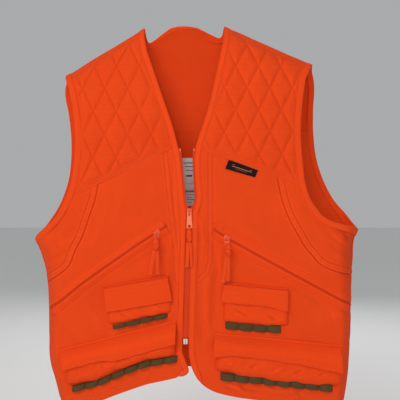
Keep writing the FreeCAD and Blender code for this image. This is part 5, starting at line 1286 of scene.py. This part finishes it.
S_F, L_F = 9.4, 17.0
def sub(p, dv): return (p[0], p[1] + dv)
SM = {"right": ((104.2, 285.6), (168.2, 275.0), (172.5, 300.2), (106.4, 311.6), (109.0, 324.6), (171.0, 311.6)),
      "left": ((223.9, 281.9), (287.6, 287.9), (287.4, 310.9), (220.4, 302.5), (223.7, 320.7), (287.9, 325.8))}
LG = {"right": ((60.3, 349.3), (176.3, 320.0), (175.6, 342.4), (64.7, 369.5), (67.0, 384.0), (175.6, 353.6)),
      "left": ((214.6, 332.7), (340.4, 345.1), (341.4, 371.9), (212.7, 354.7), (215.5, 370.0), (341.0, 383.0))}
first_band = True
for side in ("right", "left"):
    tl, tr, br, bl, pb, pbr = SM[side]
    a, b = lerp(tl, bl, .4), lerp(tr, br, .4)
    cre = [((pb[0] + 10, pb[1] - 12), (pb[0] + 24, pb[1] - 5), 3.0, -0.9), ((pbr[0] - 22, pbr[1] - 12), (pbr[0] - 10, pbr[1] - 4), 3.0, -0.9)]
    pocket(side + "_small_pocket_pouch", side + "_small_pocket", (a[0] + 2.0, a[1]), (b[0] - 0.6, b[1]), pbr, pb, S_F, 11 if side == "right" else 12, 0.7, cre)
    # seam band
    w = (tr[0] - tl[0]); dz = 2.9
    def nb(I, z): return 1.6 + 10.2 * np.clip(z / 2.0, 0, 1) ** 0.5
    f0, f1, f2, f3 = tl, tr, sub(tr, dz + 0.3), sub(tl, dz + 0.3)
    o, A, _ = flap(side + "_small_seam_band", None, f0, f1, f2, f3, lambda I, z: 3.0 + 8.8 * np.clip(z / (dz * G), 0, 1) ** 0.7, "root", 20, wave=0.0)
    put(o, "flap_bands" if first_band else None); first_band = False
    o, A, (W, H) = flap(side + "_small_flap_leaf", side + "_small_flap", sub(tl, dz), sub(tr, dz), br, bl, lambda I, z: S_F + 2.4 + 0.2 * np.sin(I * 3), "f", 21 if side == "right" else 24, wave=0.4)
    put(o, side + "_small_flap", side + "_small_flap")
    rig.sheet(o, flat=(W * MM, H * MM), held="hung", area=min(area_of(A), 0.999 * W * H * 1e-6))
    # raised double-stitched border along the flap
    zz = np.linalg.norm(A[:, A.shape[1] // 2] - A[0, A.shape[1] // 2], axis=1) / MM
    r1 = int(np.argmin(abs(zz - 1.8))); r2 = int(np.argmin(abs(zz - (H - 2.4)))); 
    G1 = side + "_small_flap_stitching"
    stitch_grid(G1, A, rows_=(r1, r2), cols_=(5, -6))
    # big pocket
    tl, tr, br, bl, pb, pbr = LG[side]
    a, b = lerp(tl, bl, .66), lerp(tr, br, .66)
    if side == "right":
        cre = [((92, 381), (104, 366), 3.5, -1.6), ((112, 375), (120, 360), 3, -1.3), ((140, 366), (147, 352), 3.5, -1.5), ((160, 361), (170, 352), 3, 1.3), ((75, 382), (86, 372), 4, 1.2)]
    else:
        cre = [((240, 372), (256, 362), 3.5, -1.6), ((262, 377), (282, 366), 4, 1.5), ((282, 380), (300, 368), 3.5, -1.4), ((308, 383), (322, 371), 3.5, -1.3), ((324, 384), (333, 374), 3, 1.2), ((222, 370), (232, 360), 3, 1.1)]
    pocket(side + "_large_pocket_pouch", side + "_large_pocket", (a[0] + 2.6, a[1]), (b[0] - 0.6, b[1]), pbr, pb, L_F, 14 if side == "right" else 15, 0.9, cre, hw=1.3)
    o, A, _ = flap(side + "_large_seam_band", None, sub(tl, -0.6), sub(tr, -0.6), sub(tr, 2.9), sub(tl, 2.9), lambda I, z: 3.9 + 0.5 * np.sin(math.pi * I) - 1.3 * np.clip(I - 0.75, 0, 1) * 4, "root", 20, wave=0.0)
    put(o, None)
    def nl(I, z):
        q = np.clip(z / 21.0, 0, 1)
        return 3.5 + (L_F + 2.4 - 3.3) * (1 - (1 - q) ** 2.0)
    o, A, (W, H) = flap(side + "_large_flap_leaf", side + "_large_flap", sub(tl, 2.4), sub(tr, 2.4), br, bl, nl, "f", 31 if side == "right" else 35, wave=0.55)
    put(o, side + "_large_flap", side + "_large_flap")
    ar = area_of(A); l_ = ar / (W * MM) * 1.03
    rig.sheet(o, flat=(W * MM, l_), held="hung", area=min(ar, 0.999 * W * MM * l_))
    zz = np.linalg.norm(A[:, A.shape[1] // 2] - A[0, A.shape[1] // 2], axis=1) / MM
    r1 = int(np.argmin(abs(zz - 2.0))); r2 = int(np.argmin(abs(zz - (zz[-1] - 2.6))))
    stitch_grid(side + "_large_flap_stitching", A, rows_=(r1, r2), cols_=(5, -6))

# ============================================================ shell loops: elastic ribbed bands, arched off a backing
def loop_row(name, node, tl, tr, h, n, n0, arch, bend=((0, 1), (0, 0))):
    tl, tr = np.array(tl), np.array(tr)
    L = np.linalg.norm(tr - tl) * G; ex = (tr - tl) / np.linalg.norm(tr - tl)
    K = n * 22 + 1
    t = np.linspace(0, 1, K); ph = (t * n) % 1.0; cell = np.minimum((t * n).astype(int), n - 1)
    nn = n0 + 1.0 + arch * np.sin(math.pi * ph) ** 0.55
    nn[np.isclose(ph, 0)] = n0 + 1.0
    M = 10
    s = np.linspace(0, 1, M)
    rng = np.random.default_rng(int(L))
    dv = rng.uniform(-0.35, 0.35, n)[cell] + 0.25 * np.sin(math.pi * ph)
    dv = dv + np.interp(t, *bend)
    U = tl[0] + (tr[0] - tl[0]) * t[None, :] + 0 * s[:, None]
    Vv = (tl[1] + (tr[1] - tl[1]) * t)[None, :] + h * s[:, None] + dv[None, :]
    N = nn[None, :] + (-0.8 * (s[:, None] - 0.5) * 0 + 0.45 * np.sin(math.pi * s)[:, None])
    A = FLATP(U, Vv, N); 
    B = FLATP(U, Vv, N - 1.0)
    o = slab_obj(name, A, B, M_ELASTIC); put(o, node, slot="elastic")
    Bk = FLATP(U, Vv, n0 + 0.05 + 0 * N); Ak = FLATP(U, Vv, n0 + 0.6 + 0 * N)
    o = slab_obj(name + "_backing", Ak, Bk, M_ELASTIC); put(o, None, slot="elastic")
    for i in range(1, n):
        c = tl + (tr - tl) * i / n + np.array([0, np.interp(i / n, *bend)])
        p = [FLATP(c[0], c[1] + h * f, n0 + 1.5) for f in (0.08, 0.92)]
        stitch("loop_dividers", np.array([np.array(p[0]) * (1 - f) + np.array(p[1]) * f for f in np.linspace(0, 1, 8)]), (0, -1, 0), pitch=2.6, ln=2.2, rad=0.4)
loop_row("right_small_loops_elastic", "right_small_shell_loops", (112.9, 324.4), (167.6, 312.9), 4.4, 4, 1.3, 5.6)
loop_row("left_small_loops_elastic", "left_small_shell_loops", (225.2, 321.4), (280.8, 325.8), 7.0, 4, 1.3, 5.6)
loop_row("right_large_loops_elastic", "right_large_shell_loops", (72.3, 384.3), (177.2, 355.6), 6.0, 8, 1.3, 5.8, ((0, 0.15, 0.28, 0.41, 0.54, 0.655, 0.79, 1), (1.5, 1.8, 1.4, -0.8, -2.8, -3.6, -2.9, -0.3)))
loop_row("left_large_loops_elastic", "left_large_shell_loops", (220.3, 371.6), (332.3, 383.4), 7.5, 8, 1.3, 5.8)

# ============================================================ labels
def patch(name, quad, n0, n1, mat, node=None, slot="label_black", bev=0.12):
    return mprism(name, quad, n0, n1, node, mat, slot, bev)
LQ = [(228.7, 160.0), (258.0, 170.3), (255.0, 177.5), (225.3, 168.6)]
def onq(q, a, b):
    tl, tr, br, bl = map(np.array, q)
    p = tl * (1 - a) * (1 - b) + tr * a * (1 - b) + br * a * b + bl * (1 - a) * b
    return (float(p[0]), float(p[1]))
def bar(q, a0, a1, b0, b1): return [onq(q, a0, b0), onq(q, a1, b0), onq(q, a1, b1), onq(q, a0, b1)]
patch("chest_label_cloth", LQ, 1.2, 3.0, M_BLACK, "chest_label")
for i, (a0, a1, b0, b1) in enumerate(((0.17, 0.83, 0.47, 0.54), (0.30, 0.70, 0.68, 0.71), (0.17, 0.24, 0.30, 0.34), (0.76, 0.83, 0.30, 0.34))):
    patch("chest_label_border_%d" % i, bar(LQ, a0, a1, b0, b1), 2.9, 3.14, M_PRINT, bev=0.03)
def inner_patch(name, u0, v0, u1, v1, y0, y1, mat, node=None, slot="label_white", bev=0.06):
    import bmesh
    nr, nc = 12, 6
    uu = np.linspace(u0, u1, nc); vv = np.linspace(v0, v1, nr)
    U, Vv = np.meshgrid(uu, vv)
    bow = 0.35 * np.sin((Vv - 158) * 0.09) + 0.2 * np.sin(U * 0.4)
    if y1 - y0 < 0.35: bow = bow
    X, Z = (U - 188) * G, -(Vv - 24) * G
    A = np.stack([X, y0 + bow, Z], -1) * MM; B = np.stack([X, y1 + bow, Z], -1) * MM
    o = slab_obj(name, A, B, mat); put(o, node, slot=slot); return o
YB = 37.2
inner_patch("neck_label_cloth", 180.2, 155.4, 196.8, 190.4, YB, YB + 0.6, M_WHITE, "neck_label")
for i, (u0, v0, u1, v1) in enumerate(((183.0, 160.2, 194.0, 161.2), (184.0, 164.2, 193.0, 164.9), (184.6, 168.2, 192.4, 168.8), (185.4, 173.4, 191.6, 175.2), (184.8, 182.6, 192.2, 183.1))):
    inner_patch("neck_label_mark_%d" % i, u0, v0, u1, v1, YB - 0.16, YB + 0.05, M_INK)
inner_patch("care_label_cloth", 184.8, 191.8, 195.3, 206.4, YB - 0.9, YB - 0.4, M_WHITE, "care_label")
for i in range(4):
    inner_patch("care_label_mark_%d" % i, 186.2, 194.2 + 2.6 * i, 193.8 - (i % 2) * 2.2, 194.8 + 2.6 * i, YB - 1.05, YB - 0.86, M_INK)

# ============================================================ hidden pocket bags
for side, q in (("right", [(158, 236), (170, 330), (70, 330), (66, 299)]), ("left", [(224, 240), (336, 301), (334, 330), (204, 330)])):
    if side == "right": tl, tr, br, bl = (66, 299), (158, 236), (170, 330), (70, 330)
    else: tl, tr, br, bl = (224, 240), (336, 301), (334, 330), (204, 330)
    fi = edge_fr(26, 120, 5); fj = edge_fr(36, 160, 5)
    g = quad_grid(tl, tr, br, bl, 0, 0, fi, fj)
    I, J = np.meshgrid(fi, fj, indexing="ij")
    e = np.sqrt(np.clip(1 - np.clip(1 - np.minimum(np.minimum(I, 1 - I) * 120, np.minimum(J, 1 - J) * 160) / 5, 0, 1) ** 2, 0, 1))
    n = -7.8 + 0.5 * np.sin(J * 9 + I * 4) * e
    A = FLATP(g[..., 0], g[..., 1], n + 0.1 + 3.2 * e); B = FLATP(g[..., 0], g[..., 1], n - 0.1 - 3.2 * e)
    o = slab_obj(side + "_pocket_bag_cloth", A, B, M_LINING); put(o, side + "_pocket_bag", slot="lining_cloth")
    W = float(np.ptp(A[..., 0])); L_ = float(np.ptp(A[..., 2])); ar = area_of(A)
    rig.sheet(o, flat=(W, L_), held="hung", area=max(min(ar, 0.999 * W * L_), 0.31 * W * L_))

# ============================================================ stitching objects
BODY_OF = {side + "_" + k + "_flap_stitching": side + "_" + k + "_flap" for side in ("right", "left") for k in ("small", "large")}
for grp, (Vs, Fs) in STITCH.items():
    if not Vs: continue
    o = new_obj(grp, Vs, Fs, M_OLIVE_THREAD if grp == "loop_dividers" else M_THREAD)
    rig.ride(o, BODY_OF.get(grp, "root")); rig.slot(o, "binding_cloth")

# ============================================================ floor
import bmesh
bm = bmesh.new()
bmesh.ops.create_grid(bm, x_segments=1, y_segments=1, size=12)
me = bpy.data.meshes.new("floor"); bm.to_mesh(me); bm.free()
fl = bpy.data.objects.new("floor", me); fl.location = (0, 0, -0.80); SC.collection.objects.link(fl)
M_FLOOR = plastic("studio_floor", (0.86, 0.86, 0.855), 0.8, noise=0.02, scale=3.0, bump=0.0, spec=0.2); me.materials.append(M_FLOOR)
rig.stage(fl)

BOX1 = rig.bounds()
with open("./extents.json", "w") as fh:
    json.dump({"cad": [list(map(float, x)) for x in BOX0], "visual": [list(map(float, x)) for x in BOX1]}, fh)
